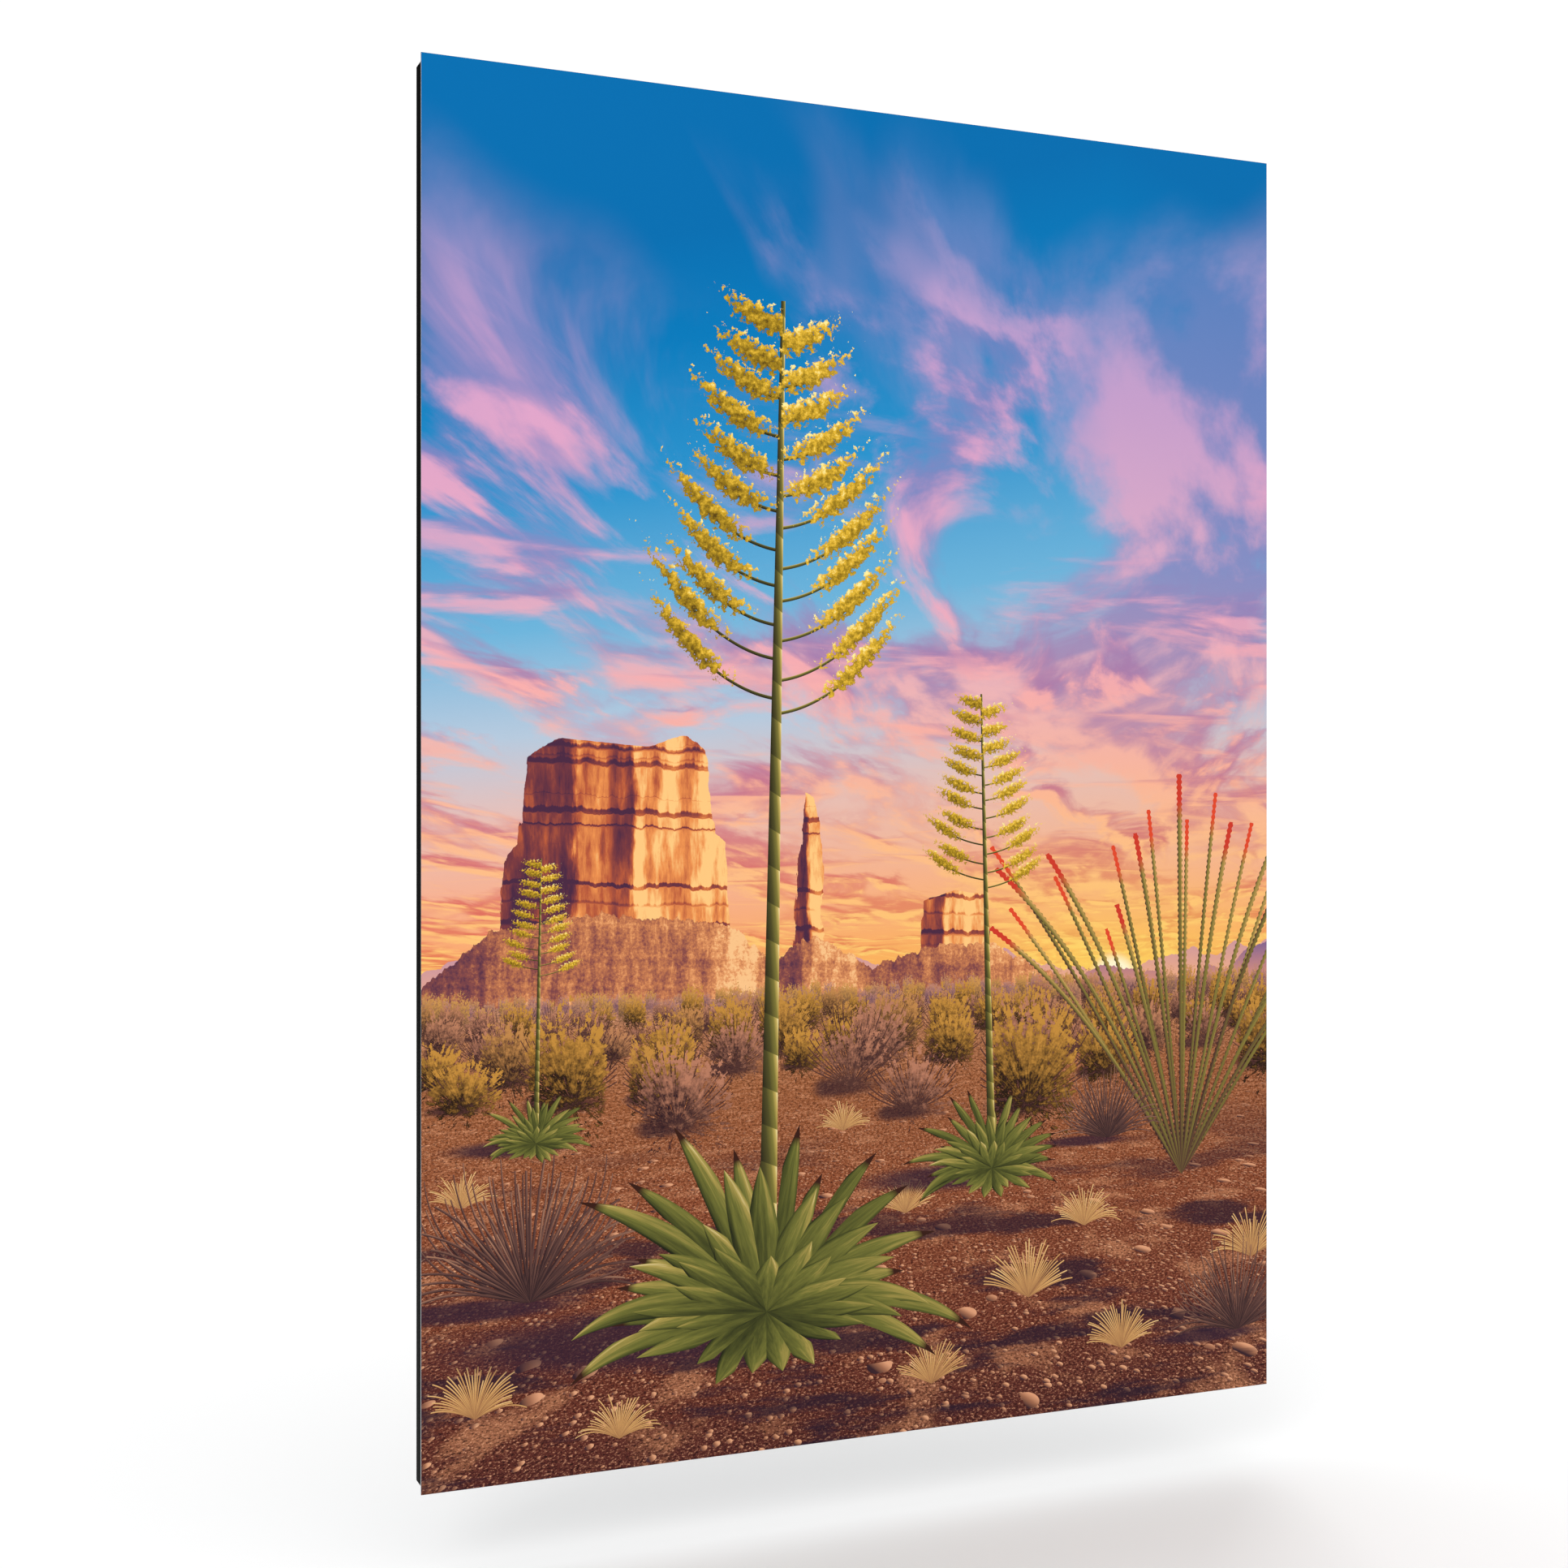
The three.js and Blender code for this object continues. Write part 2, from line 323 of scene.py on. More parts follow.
@dataclass(frozen=True)
class DuskSky(Layer):
    """Evening sky, blue overhead and golden low down, with clouds that run to the sun on the horizon."""

    horizon: float
    sun_x: float
    top: float = 500.0
    side_lift: float = 0.35
    cloud_height: float = 620.0
    cloud_sink: float = 70.0
    wander: float = 0.9
    halo: float = 105.0
    halo_squash: float = 2.1
    disc: float = 26.0
    disc_blur: float = 12.0
    gradient: Stops = (
        (0.0, "#FBB44A"), (0.06, "#F9A765"), (0.14, "#F5AE8C"), (0.25, "#E6BDB4"), (0.36, "#B4C8DC"),
        (0.50, "#6CB3DA"), (0.68, "#2892CC"), (0.86, "#007ABB"), (1.0, "#006EB0"),
    )  # fmt: skip
    cloud_light: Stops = (
        (0.0, "#FFDC6E"), (0.10, "#FFC27A"), (0.26, "#FBB09A"), (0.45, "#F3A9BE"), (0.70, "#D9A2CC"),
        (1.0, "#A9A6D6"),
    )  # fmt: skip
    cloud_shade: Stops = (
        (0.0, "#E8743F"), (0.12, "#DB6A62"), (0.28, "#B9739A"), (0.50, "#8C84BE"), (1.0, "#4F84C2"),
    )  # fmt: skip
    banks: tuple[CloudBank, ...] = (
        CloudBank((1.5, 1.15), (7.3, 2.1), (0.44, 0.60), 0.80, (0.88, 0.66)),
        CloudBank((2.6, 1.9), (31.2, 14.6), (0.49, 0.66), 0.92, (0.86, 0.60)),
        CloudBank((1.2, 3.6), (57.9, 40.4), (0.52, 0.70), 0.75, (0.75, 0.45)),
    )

    def reach(self) -> Tile:
        """Give the tile that the layer stays inside."""
        return Tile(low=self.horizon)

    def paint(self, canvas: Canvas) -> None:
        """Lay the sky, its clouds, and the light round the sun, which is half down.

        Args:
            canvas: The picture so far.
        """
        node = canvas.node
        height = node(UNCLAMPED, canvas.z, self.horizon, self.top)
        from_sun, above = canvas.offset(self.sun_x, self.horizon)
        lift = self.side_lift / (self.top - self.horizon)
        lift = node(MULTIPLY_ADD, node(ABSOLUTE, from_sun), lift, 1.0)
        canvas.colour = node(RAMP, node(MULTIPLY, height, lift), stops=self.gradient)
        self.paint_clouds(canvas, height, from_sun, above)
        spot = node(COMBINE, from_sun, above)
        flat = node(VECTOR_MULTIPLY, spot, (1.0, self.halo_squash, 0.0))
        glow = node(MULTIPLY, node(VECTOR_LENGTH, flat), -1 / self.halo)
        canvas.lay("#FFD861", node(EXPONENT, glow))
        away = node(VECTOR_LENGTH, spot)
        canvas.lay("#FFF6CF", node(SMOOTH, away, self.disc, self.disc - self.disc_blur))

    def paint_clouds(self, canvas: Canvas, height: Node, from_sun: Node, above: Node) -> None:
        """Lay the banks of cloud, which shrink towards the sun.

        Args:
            canvas: The picture so far.
            height: Height above the horizon, from 0 to 1.
            from_sun: Distance from the sun along x.
            above: Distance above the horizon.
        """
        node = canvas.node
        light = node(RAMP, height, stops=self.cloud_light)
        shade = node(RAMP, height, stops=self.cloud_shade)
        depth = node(ADD, above, self.cloud_sink)
        flat = node(COMBINE, node(DIVIDE, from_sun, depth), node(DIVIDE, self.cloud_height, depth))
        for bank in self.banks:
            spot = node(VECTOR_MULTIPLY_ADD, flat, (*bank.scale, 0.0), (*bank.shift, 0.0))
            body = node(FLAT_NOISE, spot, Scale=1.0, Detail=7.0, Roughness=0.57, Distortion=0.35)
            moved = node(VECTOR_ADD, spot, (-0.1, 0.16, 0.0))
            under = node(FLAT_NOISE, moved, Scale=1.0, Detail=3.0, Roughness=0.5, Distortion=0.35)
            lit = node(SMOOTH, node(SUBTRACT, body, under), -0.06, 0.08)
            colour = node(COLOUR_MIX, lit, shade, light)
            mask = node(SMOOTH, body, *bank.cover, 0.0, bank.strength)
            wander = node(MULTIPLY_ADD, under, -self.wander, height)
            thin = node(SMOOTH, wander, *(edge - self.wander / 2 for edge in bank.thin))
            canvas.lay(colour, node(MULTIPLY, mask, thin))


@dataclass(frozen=True)
class FarHills(Layer):
    """Hazy ranges on the skyline. Each has its lift, half height, spacing of bumps, seed, crest and haze."""

    horizon: float
    ridges: tuple[tuple[float, float, float, float, str, str], ...] = (
        (20.0, 26.0, 130.0, 4.0, "#B98AA6", "#F0AE86"),
        (9.0, 17.0, 75.0, 9.0, "#86668F", "#D48F7E"),
    )

    def reach(self) -> Tile:
        """Give the tile that the layer stays inside."""
        return Tile(low=self.horizon, high=self.horizon + max(ridge[0] + ridge[1] for ridge in self.ridges))

    def paint(self, canvas: Canvas) -> None:
        """Lay the ranges on the canvas, the farthest first.

        Args:
            canvas: The picture so far.
        """
        node = canvas.node
        for lift, rise, period, seed, crest, haze in self.ridges:
            low, high = self.horizon + lift - rise, self.horizon + lift + rise
            along = node(ADD, canvas.x, seed * period)
            bumps = node(LINE_NOISE, along, Scale=1 / period, Detail=7.0, Roughness=0.5)
            ridge = node(UNCLAMPED, bumps, 0.25, 0.75, low, high)
            depth = node(UNCLAMPED, canvas.z, self.horizon, high)
            colour = node(COLOUR_MIX, depth, haze, crest)
            canvas.lay(colour, node(LESS_THAN, canvas.z, ridge))


@dataclass(frozen=True)
class Buttes(Layer):
    """Sandstone buttes on slopes of scree, with the low sun on their right-hand faces."""

    horizon: float
    width: float = 700.0
    rise: float = 205.0
    wobble: float = 13.0
    strata_scale: float = 0.11
    strata_tilt: float = 0.05
    strata_bend: float = 11.0
    gully_depth: float = 16.0
    look_ahead: float = 0.02
    cliffs: Curve = (
        (0.0, 0.0), (0.088, 0.0), (0.094, 0.52), (0.112, 0.57), (0.117, 0.86), (0.150, 0.93), (0.245, 0.90),
        (0.285, 0.94), (0.312, 0.88), (0.318, 0.60), (0.332, 0.56), (0.338, 0.0), (0.408, 0.0), (0.414, 0.50),
        (0.424, 0.74), (0.434, 0.72), (0.442, 0.47), (0.448, 0.0), (0.556, 0.0), (0.562, 0.33), (0.600, 0.37),
        (0.640, 0.35), (0.646, 0.0), (1.0, 0.0),
    )  # fmt: skip
    scree: Curve = (
        (0.0, 0.06), (0.085, 0.27), (0.2, 0.31), (0.335, 0.27), (0.385, 0.12), (0.43, 0.22), (0.50, 0.09),
        (0.56, 0.16), (0.645, 0.16), (0.73, 0.03), (0.80, 0.0), (1.0, 0.0),
    )  # fmt: skip
    faces: Curve = (
        (0.0, 0.2), (0.165, 0.22), (0.170, 0.72), (0.205, 0.55), (0.210, 0.30), (0.228, 0.35), (0.234, 0.88),
        (0.300, 0.80), (0.306, 0.98), (0.34, 1.0), (0.422, 0.2), (0.427, 0.95), (0.45, 1.0), (0.585, 0.3),
        (0.590, 0.85), (1.0, 0.95),
    )  # fmt: skip
    rock: Stops = ((0.0, "#4C2A44"), (0.3, "#7D3B3F"), (0.55, "#B95A3B"), (0.8, "#EE9350"), (1.0, "#FFC980"))
    rubble: Stops = (
        (0.0, "#5A3348"), (0.35, "#8A4C48"), (0.65, "#C57A50"), (0.88, "#EBA067"), (1.0, "#FAC489"),
    )  # fmt: skip

    def reach(self) -> Tile:
        """Give the tile that the layer stays inside."""
        return Tile(low=self.horizon, high=self.horizon + self.rise)

    def paint(self, canvas: Canvas) -> None:
        """Lay the cliffs, and then the scree at their feet with the gullies that run down it.

        Args:
            canvas: The picture so far.
        """
        node = canvas.node
        left, above = canvas.offset(-self.width / 2, self.horizon)
        spot = node(COMBINE, canvas.x, canvas.z)
        stretched = node(VECTOR_MULTIPLY, spot, (0.075, 0.016, 0.0))
        flutes = node(FLAT_NOISE, stretched, Scale=1.0, Detail=7.0, Roughness=0.62)
        place = node(MULTIPLY, node(MULTIPLY_ADD, flutes, self.wobble, left), 1 / self.width)
        crest = node(CURVE, Value=place, points=self.cliffs)
        lit = node(CURVE, Value=place, points=self.faces)
        level = weigh(node, canvas.z, (canvas.x, self.strata_tilt), (flutes, self.strata_bend))
        strata = node(LINE_NOISE, level, Scale=self.strata_scale, Detail=4.0)
        ledges = node(SMOOTH, strata, 0.54, 0.66, 0.0, -0.5)
        banded = node(ADD, node(MULTIPLY_ADD, flutes, 1.6, lit), ledges)
        rock = node(RAMP, node(UNCLAMPED, banded, 0.78, 1.78), stops=self.rock)
        top = node(MULTIPLY, crest, self.rise)
        canvas.lay(rock, node(LESS_THAN, above, top))
        foot = node(CURVE, Value=place, points=self.scree)
        foot_top = node(MULTIPLY, foot, self.rise)
        gullies = node(VECTOR_MULTIPLY, spot, (0.11, 0.035, 0.0))
        gullies = node(FLAT_NOISE, gullies, Scale=1.0, Detail=5.0, Roughness=0.6)
        grit = node(FLAT_NOISE, spot, Scale=0.45, Detail=4.0, Roughness=0.75)
        heap = node(SUBTRACT, node(MULTIPLY_ADD, gullies, self.gully_depth, foot_top), self.gully_depth / 2)
        ahead = node(CURVE, Value=node(ADD, place, self.look_ahead), points=self.scree)
        falls = node(SUBTRACT, foot, ahead)
        tone = weigh(node, 0.16, (falls, 7.0), (gullies, 1.1), (grit, 0.9), (strata, 0.5))
        scree = node(RAMP, node(SUBTRACT, tone, 0.85), stops=self.rubble)
        canvas.lay(scree, node(LESS_THAN, above, heap))


@dataclass(frozen=True)
class DesertFloor(Layer):
    """The flat ground, drawn in perspective: hazy far off, gravel, stones and long shadows close by.

    Each size of stone has its number for a unit of the ground, its share of places, and the colours of
    its lit and its dark side.
    """

    horizon: float
    bottom: float = -500.0
    eye_height: float = 30.0
    eye_distance: float = 480.0
    least_drop: float = 1.5
    stones: tuple[tuple[float, float, str, str], ...] = (
        (1.15, 0.40, "#E3A67E", "#452A30"),
        (0.34, 0.13, "#E0A079", "#3A232A"),
    )
    soil: Stops = (
        (0.0, "#C68D6E"), (0.06, "#B27650"), (0.2, "#9E5D37"), (0.45, "#8E4B2E"), (0.75, "#723727"),
        (1.0, "#5A2B26"),
    )  # fmt: skip

    def reach(self) -> Tile:
        """Give the tile that the layer stays inside."""
        return Tile(high=self.horizon)

    def paint(self, canvas: Canvas) -> None:
        """Lay the ground, its patches, its gravel, its stones and the long shadows of plants out of view.

        Args:
            canvas: The picture so far.
        """
        node = canvas.node
        drop = node(MAXIMUM, node(SUBTRACT, self.horizon, canvas.z), self.least_drop)
        flat = node(COMBINE, node(DIVIDE, canvas.x, drop), node(DIVIDE, self.eye_distance, drop))
        ground = node(VECTOR_SCALE, flat, self.eye_height)
        near = node(UNCLAMPED, drop, 0.0, self.horizon - self.bottom)
        patches = node(FLAT_NOISE, ground, Scale=0.15, Detail=5.0, Roughness=0.6)
        spot = node(COMBINE, canvas.x, canvas.z)
        gravel = node(FLAT_NOISE, ground, Scale=3.4, Detail=3.0, Roughness=0.7)
        pebbles = node(VECTOR_MULTIPLY, spot, (0.42, 0.75, 0.0))
        pebbles = node(FLAT_NOISE, pebbles, Scale=1.0, Detail=3.0, Roughness=0.75)
        grain = node(MULTIPLY_ADD, pebbles, 0.55, node(MULTIPLY, gravel, 0.45))
        canvas.colour = node(RAMP, near, stops=self.soil)
        canvas.lay("#C9865F", node(SMOOTH, patches, 0.5, 0.7, 0.0, 0.55))
        canvas.lay("#1A0B0E", node(SMOOTH, grain, 0.52, 0.36, 0.0, 0.88))
        canvas.lay("#F0B088", node(SMOOTH, grain, 0.53, 0.68, 0.0, 0.75))
        for scale, share, light, shade in self.stones:
            stones = node(FLAT_VORONOI, ground, Scale=scale)
            throws = node(CHANNELS, stones.outputs["Color"]).outputs
            size = node(UNCLAMPED, throws[0], 0.0, share, 0.4, 0.0)
            size = node(MULTIPLY, size, node(SMOOTH, near, 0.08, 0.34))
            away = node(SEPARATE, node(VECTOR_SUBTRACT, ground, stones.outputs["Position"])).outputs
            place = weigh(node, 0.45, (away["X"], scale * 1.5), (away["Y"], scale * 1.1), (throws[1], 0.25))
            colour = node(RAMP, place, stops=((0.1, shade), (0.55, "#A36C50"), (0.95, light)))
            canvas.lay(colour, node(LESS_THAN, stones.outputs["Distance"], size))
        long = node(VECTOR_MULTIPLY_ADD, spot, (0.0055, 0.034, 0.0), (3.7, 8.2, 0.0))
        shadow = node(FLAT_NOISE, long, Scale=1.0, Detail=5.0, Roughness=0.55)
        shadow = node(SMOOTH, shadow, 0.51, 0.63, 0.0, 0.82)
        canvas.lay("#2B1A2A", node(MULTIPLY, shadow, node(SMOOTH, near, 0.2, 0.6)))


def fan_stencil() -> Kind:
    """Build the group that draws a fan of blades round a foot at 0, 0, each with its own length and turn.

    Returns:
        The group.
    """
    node, given, outputs = new_group(
        "BladeFan", "X Z Length Count Reach Width Curl Taper Teeth Seed", "Mask Along Light Dice Streak"
    )
    x, z, length, count, reach, width, curl, taper, teeth, seed = given
    radius = node(VECTOR_LENGTH, node(COMBINE, x, z))
    share = node(DIVIDE, radius, length)
    bend = node(MULTIPLY_ADD, node(MULTIPLY, share, share), curl, 1.0)
    angle = node(DIVIDE, node(ARCTAN2, x, z), bend)
    pitch = node(DIVIDE, math.tau, count)
    turns = node(DIVIDE, angle, pitch)
    blade = node(ROUND, turns)
    dice = node(DICE, node(MULTIPLY_ADD, seed, 17.31, blade))
    throws = node(CHANNELS, dice.outputs["Color"]).outputs
    centre = node(SUBTRACT, node(MULTIPLY_ADD, throws[0], 0.6, blade), 0.3)
    side = node(MULTIPLY, node(MULTIPLY, node(SUBTRACT, turns, centre), pitch), radius)
    along = node(DIVIDE, share, node(MULTIPLY_ADD, throws[1], 0.36, 0.64))
    thin = node(SUBTRACT, 1.0, node(MULTIPLY, along, taper))
    belly = node(MULTIPLY_ADD, along, node(MULTIPLY, node(MULTIPLY, taper, taper), 2.4), 0.6)
    half = node(MULTIPLY, node(MULTIPLY, thin, belly), width)
    wave = node(MULTIPLY_ADD, node(SINE, node(MULTIPLY, radius, 1.4)), teeth, half)
    inside = node(LESS_THAN, node(ABSOLUTE, side), wave)
    whole = node(LESS_THAN, along, 1.0)
    turn = node(MULTIPLY, centre, pitch)
    within = node(LESS_THAN, node(ABSOLUTE, turn), reach)
    mask = node(MULTIPLY, node(MULTIPLY, inside, within), whole)
    part = node(DIVIDE, side, half)
    # The light falls from the upper right, at 37 degrees over the horizon.
    light = node(MULTIPLY, part, node(COSINE, node(ADD, turn, 0.64)))
    light = node(SUBTRACT, light, node(SMOOTH, node(ABSOLUTE, part), 0.6, 1.1, 0.0, 1.1))
    fibre = node(COMBINE, node(MULTIPLY_ADD, blade, 5.37, part), along)
    streak = node(FLAT_NOISE, fibre, Scale=2.4, Detail=3.0, Roughness=0.7)
    plug(outputs, mask, along, light, dice, streak)
    return Kind("ShaderNodeGroup", {"node_tree": outputs.id_data})


def stalk_stencil() -> Kind:
    """Build the group that draws a flower stalk: a tapering mast, and arms that rise to heads of blossom.

    Returns:
        The group.
    """
    node, given, outputs = new_group("FlowerStalk", "X Z Height Width Gap Arm Seed", "Stem Side Bloom Light")
    x, z, height, width, gap, arm, seed = given
    along = node(DIVIDE, z, height)
    half = node(MULTIPLY, node(MULTIPLY_ADD, along, -0.78, 1.0), width)
    off = node(ABSOLUTE, x)
    side = node(DIVIDE, x, half)
    sheaths = node(FRACT, node(MULTIPLY_ADD, side, 0.1, node(DIVIDE, z, gap)))
    side = node(MULTIPLY_ADD, sheaths, 0.6, side)
    mast = node(LESS_THAN, off, half)
    above = node(GREATER_THAN, along, 0.0)
    below = node(LESS_THAN, along, 0.985)
    mast = node(MULTIPLY, node(MULTIPLY, mast, above), below)
    hand = node(SIGN, x)
    rise = node(MULTIPLY, node(MULTIPLY_ADD, off, 0.006, 0.12), off)
    level = node(MULTIPLY_ADD, hand, 0.25, node(DIVIDE, node(SUBTRACT, z, rise), gap))
    tier = node(FLOOR, level)
    inside = node(SUBTRACT, level, tier)
    dice = node(DICE, weigh(node, tier, (hand, 41.7), (seed, 3.17)))
    throws = node(CHANNELS, dice.outputs["Color"]).outputs
    base = node(MULTIPLY_ADD, throws[0], 0.2, 0.28)
    up = node(MULTIPLY, node(SUBTRACT, inside, base), gap)
    place = node(DIVIDE, node(MULTIPLY, tier, gap), height)
    reach = node(UNCLAMPED, place, 0.58, 0.96, 1.0, 0.16)
    vary = node(MULTIPLY_ADD, throws[1], 0.34, 0.74)
    reach = node(MULTIPLY, node(MULTIPLY, reach, vary), arm)
    thick = node(ABSOLUTE, up)
    thin = node(MULTIPLY, width, 0.17)
    twig = node(LESS_THAN, thick, thin)
    over_arm = node(MULTIPLY_ADD, hand, 0.35, node(DIVIDE, up, thin))
    side = node(MIX, mast, over_arm, side)
    short = node(LESS_THAN, off, reach)
    live = node(MULTIPLY, node(GREATER_THAN, place, 0.54), node(LESS_THAN, place, 0.97))
    twig = node(MULTIPLY, twig, node(MULTIPLY, short, live))
    stem = node(MAXIMUM, mast, twig)
    spot = node(COMBINE, x, z)
    spot = node(VECTOR_SCALE, spot, node(DIVIDE, 5.2, gap))
    petals = node(FLAT_NOISE, spot, Scale=1.0, Detail=3.0, Roughness=0.7)
    out = node(SUBTRACT, off, reach)
    out = node(DIVIDE, out, node(MULTIPLY, arm, 0.36))
    high = node(DIVIDE, up, node(MULTIPLY, gap, 0.36))
    high = node(SUBTRACT, high, 0.35)
    head = node(VECTOR_LENGTH, node(COMBINE, out, high))
    ragged = node(MULTIPLY_ADD, petals, 2.6, head)
    bloom = node(MULTIPLY, node(LESS_THAN, ragged, 2.25), live)
    light = weigh(node, 1.25, (high, 0.22), (petals, -1.6), (hand, 0.08))
    plug(outputs, stem, side, bloom, light)
    return Kind("ShaderNodeGroup", {"node_tree": outputs.id_data})


def shrub_stencil(fan: Kind) -> Kind:
    """Build the group that draws a row of shrubs at uneven places on one ground line, each twigs and leaves.

    Args:
        fan: The group that draws a fan, here of twigs.

    Returns:
        The group.
    """
    node, given, outputs = new_group(
        "ShrubRow", "X Z Ground Spacing Height Share Leaves Seed", "Leaf Twig Light Hue Shadow"
    )
    x, z, ground, spacing, height, share, leaves, seed = given
    cells = node(MULTIPLY_ADD, seed, 7.31, node(DIVIDE, x, spacing))
    cell = node(FLOOR, cells)
    inside = node(SUBTRACT, cells, cell)
    gap = node(SMOOTH, node(ABSOLUTE, node(SUBTRACT, inside, 0.5)), 0.34, 0.5, 0.0, 0.8)
    key = node(MULTIPLY_ADD, seed, 31.7, cell)
    dice = node(DICE, key)
    throws = node(CHANNELS, dice.outputs["Color"]).outputs
    centre = node(MULTIPLY_ADD, throws[0], 0.32, 0.34)
    side = node(MULTIPLY, node(SUBTRACT, inside, centre), spacing)
    tall = node(MULTIPLY, node(MULTIPLY_ADD, throws[2], 0.6, 0.5), height)
    up = node(SUBTRACT, z, node(MULTIPLY_ADD, throws[0], -0.22, ground))
    there = node(LESS_THAN, dice, share)
    long = node(MULTIPLY, tall, 1.14)
    thin = node(MULTIPLY, height, 0.011)
    shape = {"Count": 62.0, "Reach": 1.3, "Width": thin, "Curl": -0.16, "Taper": 0.6, "Teeth": 0.0}
    twigs = node(fan, side, up, long, **shape, Seed=key)
    twig = node(MULTIPLY, twigs, there)
    fine = node(DIVIDE, 9.0, height)
    spot = node(VECTOR_SCALE, node(COMBINE, x, z), fine)
    tufts = node(FLAT_NOISE, spot, Scale=1.0, Detail=3.0, Roughness=0.8)
    angle = node(MULTIPLY_ADD, node(ARCTAN2, side, up), 12.0, key)
    ring = node(VECTOR_LENGTH, node(COMBINE, side, up))
    ring = node(MULTIPLY, node(MULTIPLY, ring, fine), 0.3)
    strokes = node(FLAT_NOISE, node(COMBINE, angle, ring), Scale=1.0, Detail=3.0, Roughness=0.7)
    out = node(DIVIDE, side, node(MULTIPLY, tall, 0.82))
    part = node(DIVIDE, up, tall)
    raised = node(MULTIPLY, node(SUBTRACT, part, 0.42), 1.85)
    reach = node(VECTOR_LENGTH, node(COMBINE, out, raised))
    dense = node(MULTIPLY_ADD, reach, -0.34, leaves)
    bare = node(SMOOTH, throws[1], 0.5, 1.0, 0.0, 0.26)
    dense = node(SUBTRACT, node(SUBTRACT, dense, bare), gap)
    full = node(ADD, strokes, node(ADD, tufts, dense))
    leaf = node(GREATER_THAN, node(SUBTRACT, full, 0.5), 1.0)
    leaf = node(MULTIPLY, leaf, there)
    light = node(SUBTRACT, weigh(node, part, (out, 0.22), (tufts, 2.0), (strokes, 1.2)), 1.65)
    flat = node(MULTIPLY, part, 7.0)
    stain = node(VECTOR_LENGTH, node(COMBINE, node(ADD, out, 0.35), flat))
    stain = node(SUBTRACT, node(SMOOTH, stain, 1.25, 0.4, 0.0, 0.8), gap)
    stain = node(MULTIPLY, node(MAXIMUM, stain, 0.0), there)
    plug(outputs, leaf, twig, light, throws[1], stain)
    return Kind("ShaderNodeGroup", {"node_tree": outputs.id_data})


@dataclass(frozen=True)
class ShrubRow(Layer):
    """One row of shrubs or tufts on a ground line."""

    ground: float
    spacing: float
    height: float
    share: float
    leaves: float
    seed: float
    gold: tuple[str, str] = ("#2A1B12", "#C48C3C")
    mauve: tuple[str, str] = ("#2C1820", "#B97C60")
    twig: str = "#54342F"
    plain_height: float = 22.0

    def reach(self) -> Tile:
        """Give the tile that the layer stays inside."""
        return Tile(low=self.ground - 0.5 * self.height, high=self.ground + 1.3 * self.height)

    def paint(self, canvas: Canvas) -> None:
        """Lay the shrubs' shadows and twigs, too small to show in a far row, and then their leaves.

        Args:
            canvas: The picture so far.
        """
        node = canvas.node
        sizes = (self.ground, self.spacing, self.height, self.share, self.leaves, self.seed)
        row = node(canvas.stencils.shrubs, canvas.x, canvas.z, *sizes).outputs
        if self.height > self.plain_height:
            canvas.lay("#2E1C28", row["Shadow"])
            canvas.lay(self.twig, row["Twig"])
        tones = [node(COLOUR_MIX, row["Light"], *tints) for tints in (self.gold, self.mauve)]
        hue = node(UNCLAMPED, row["Hue"], 0.4, 0.6)
        canvas.lay(node(COLOUR_MIX, hue, *tones), row["Leaf"])


AGAVE_TONES = (
    (0.0, "#12150D"), (0.22, "#282C17"), (0.44, "#4C4F24"), (0.64, "#727234"), (0.84, "#AE9A50"),
    (1.0, "#E8D398"),
)  # fmt: skip
WHIP_TONES = ((0.0, "#2A1C1E"), (0.35, "#5B4030"), (0.6, "#7F7536"), (0.85, "#C49C58"), (1.0, "#F0C27C"))
STRAW_TONES = ((0.0, "#5E3A30"), (0.35, "#A06F48"), (0.65, "#DDAA68"), (1.0, "#FFE2A8"))
TWIG_TONES = ((0.0, "#1A1012"), (0.35, "#3A2628"), (0.65, "#6A4840"), (1.0, "#C08C6C"))


@dataclass(frozen=True)
class Fan(Layer):
    """One fan of blades. It stands at x, z, and its sizes are in millimetres and its angles in radians."""

    x: float
    z: float
    length: float
    count: float
    spread: float
    width: float
    seed: float
    tones: Stops
    curl: float = 0.25
    taper: float = 1.0
    teeth: float = 0.0
    squash: float = 1.0
    tip: str | None = None
    margin: float = 5.0

    def reach(self) -> Tile:
        """Give the tile that the layer stays inside.

        Returns:
            The tile.
        """
        wide = self.length * math.sin(min(self.spread, math.pi / 2)) + self.length * max(self.curl, 0.0) * 0.3
        wide += self.margin
        below = self.length * self.squash * max(0.0, -math.cos(1.1 * self.spread)) + self.margin
        return Tile(self.x - wide, self.x + wide, self.z - below, self.z + self.length * self.squash)

    def paint(self, canvas: Canvas) -> None:
        """Lay the fan on the canvas.

        Args:
            canvas: The picture so far.
        """
        node = canvas.node
        right, up = canvas.offset(self.x, self.z)
        up = node(DIVIDE, up, self.squash)
        shape = (self.width, self.curl, self.taper, self.teeth, self.seed)
        fan = node(canvas.stencils.fan, right, up, self.length, self.count, self.spread, *shape).outputs
        parts = ((fan["Light"], 0.24), (fan["Streak"], 0.46), (fan["Along"], 0.36), (fan["Dice"], 0.22))
        colour = node(RAMP, weigh(node, 0.01, *parts), stops=self.tones)
        if self.tip:
            colour = node(COLOUR_MIX, node(UNCLAMPED, fan["Along"], 0.88, 0.93), colour, self.tip)
        canvas.lay(colour, fan["Mask"])


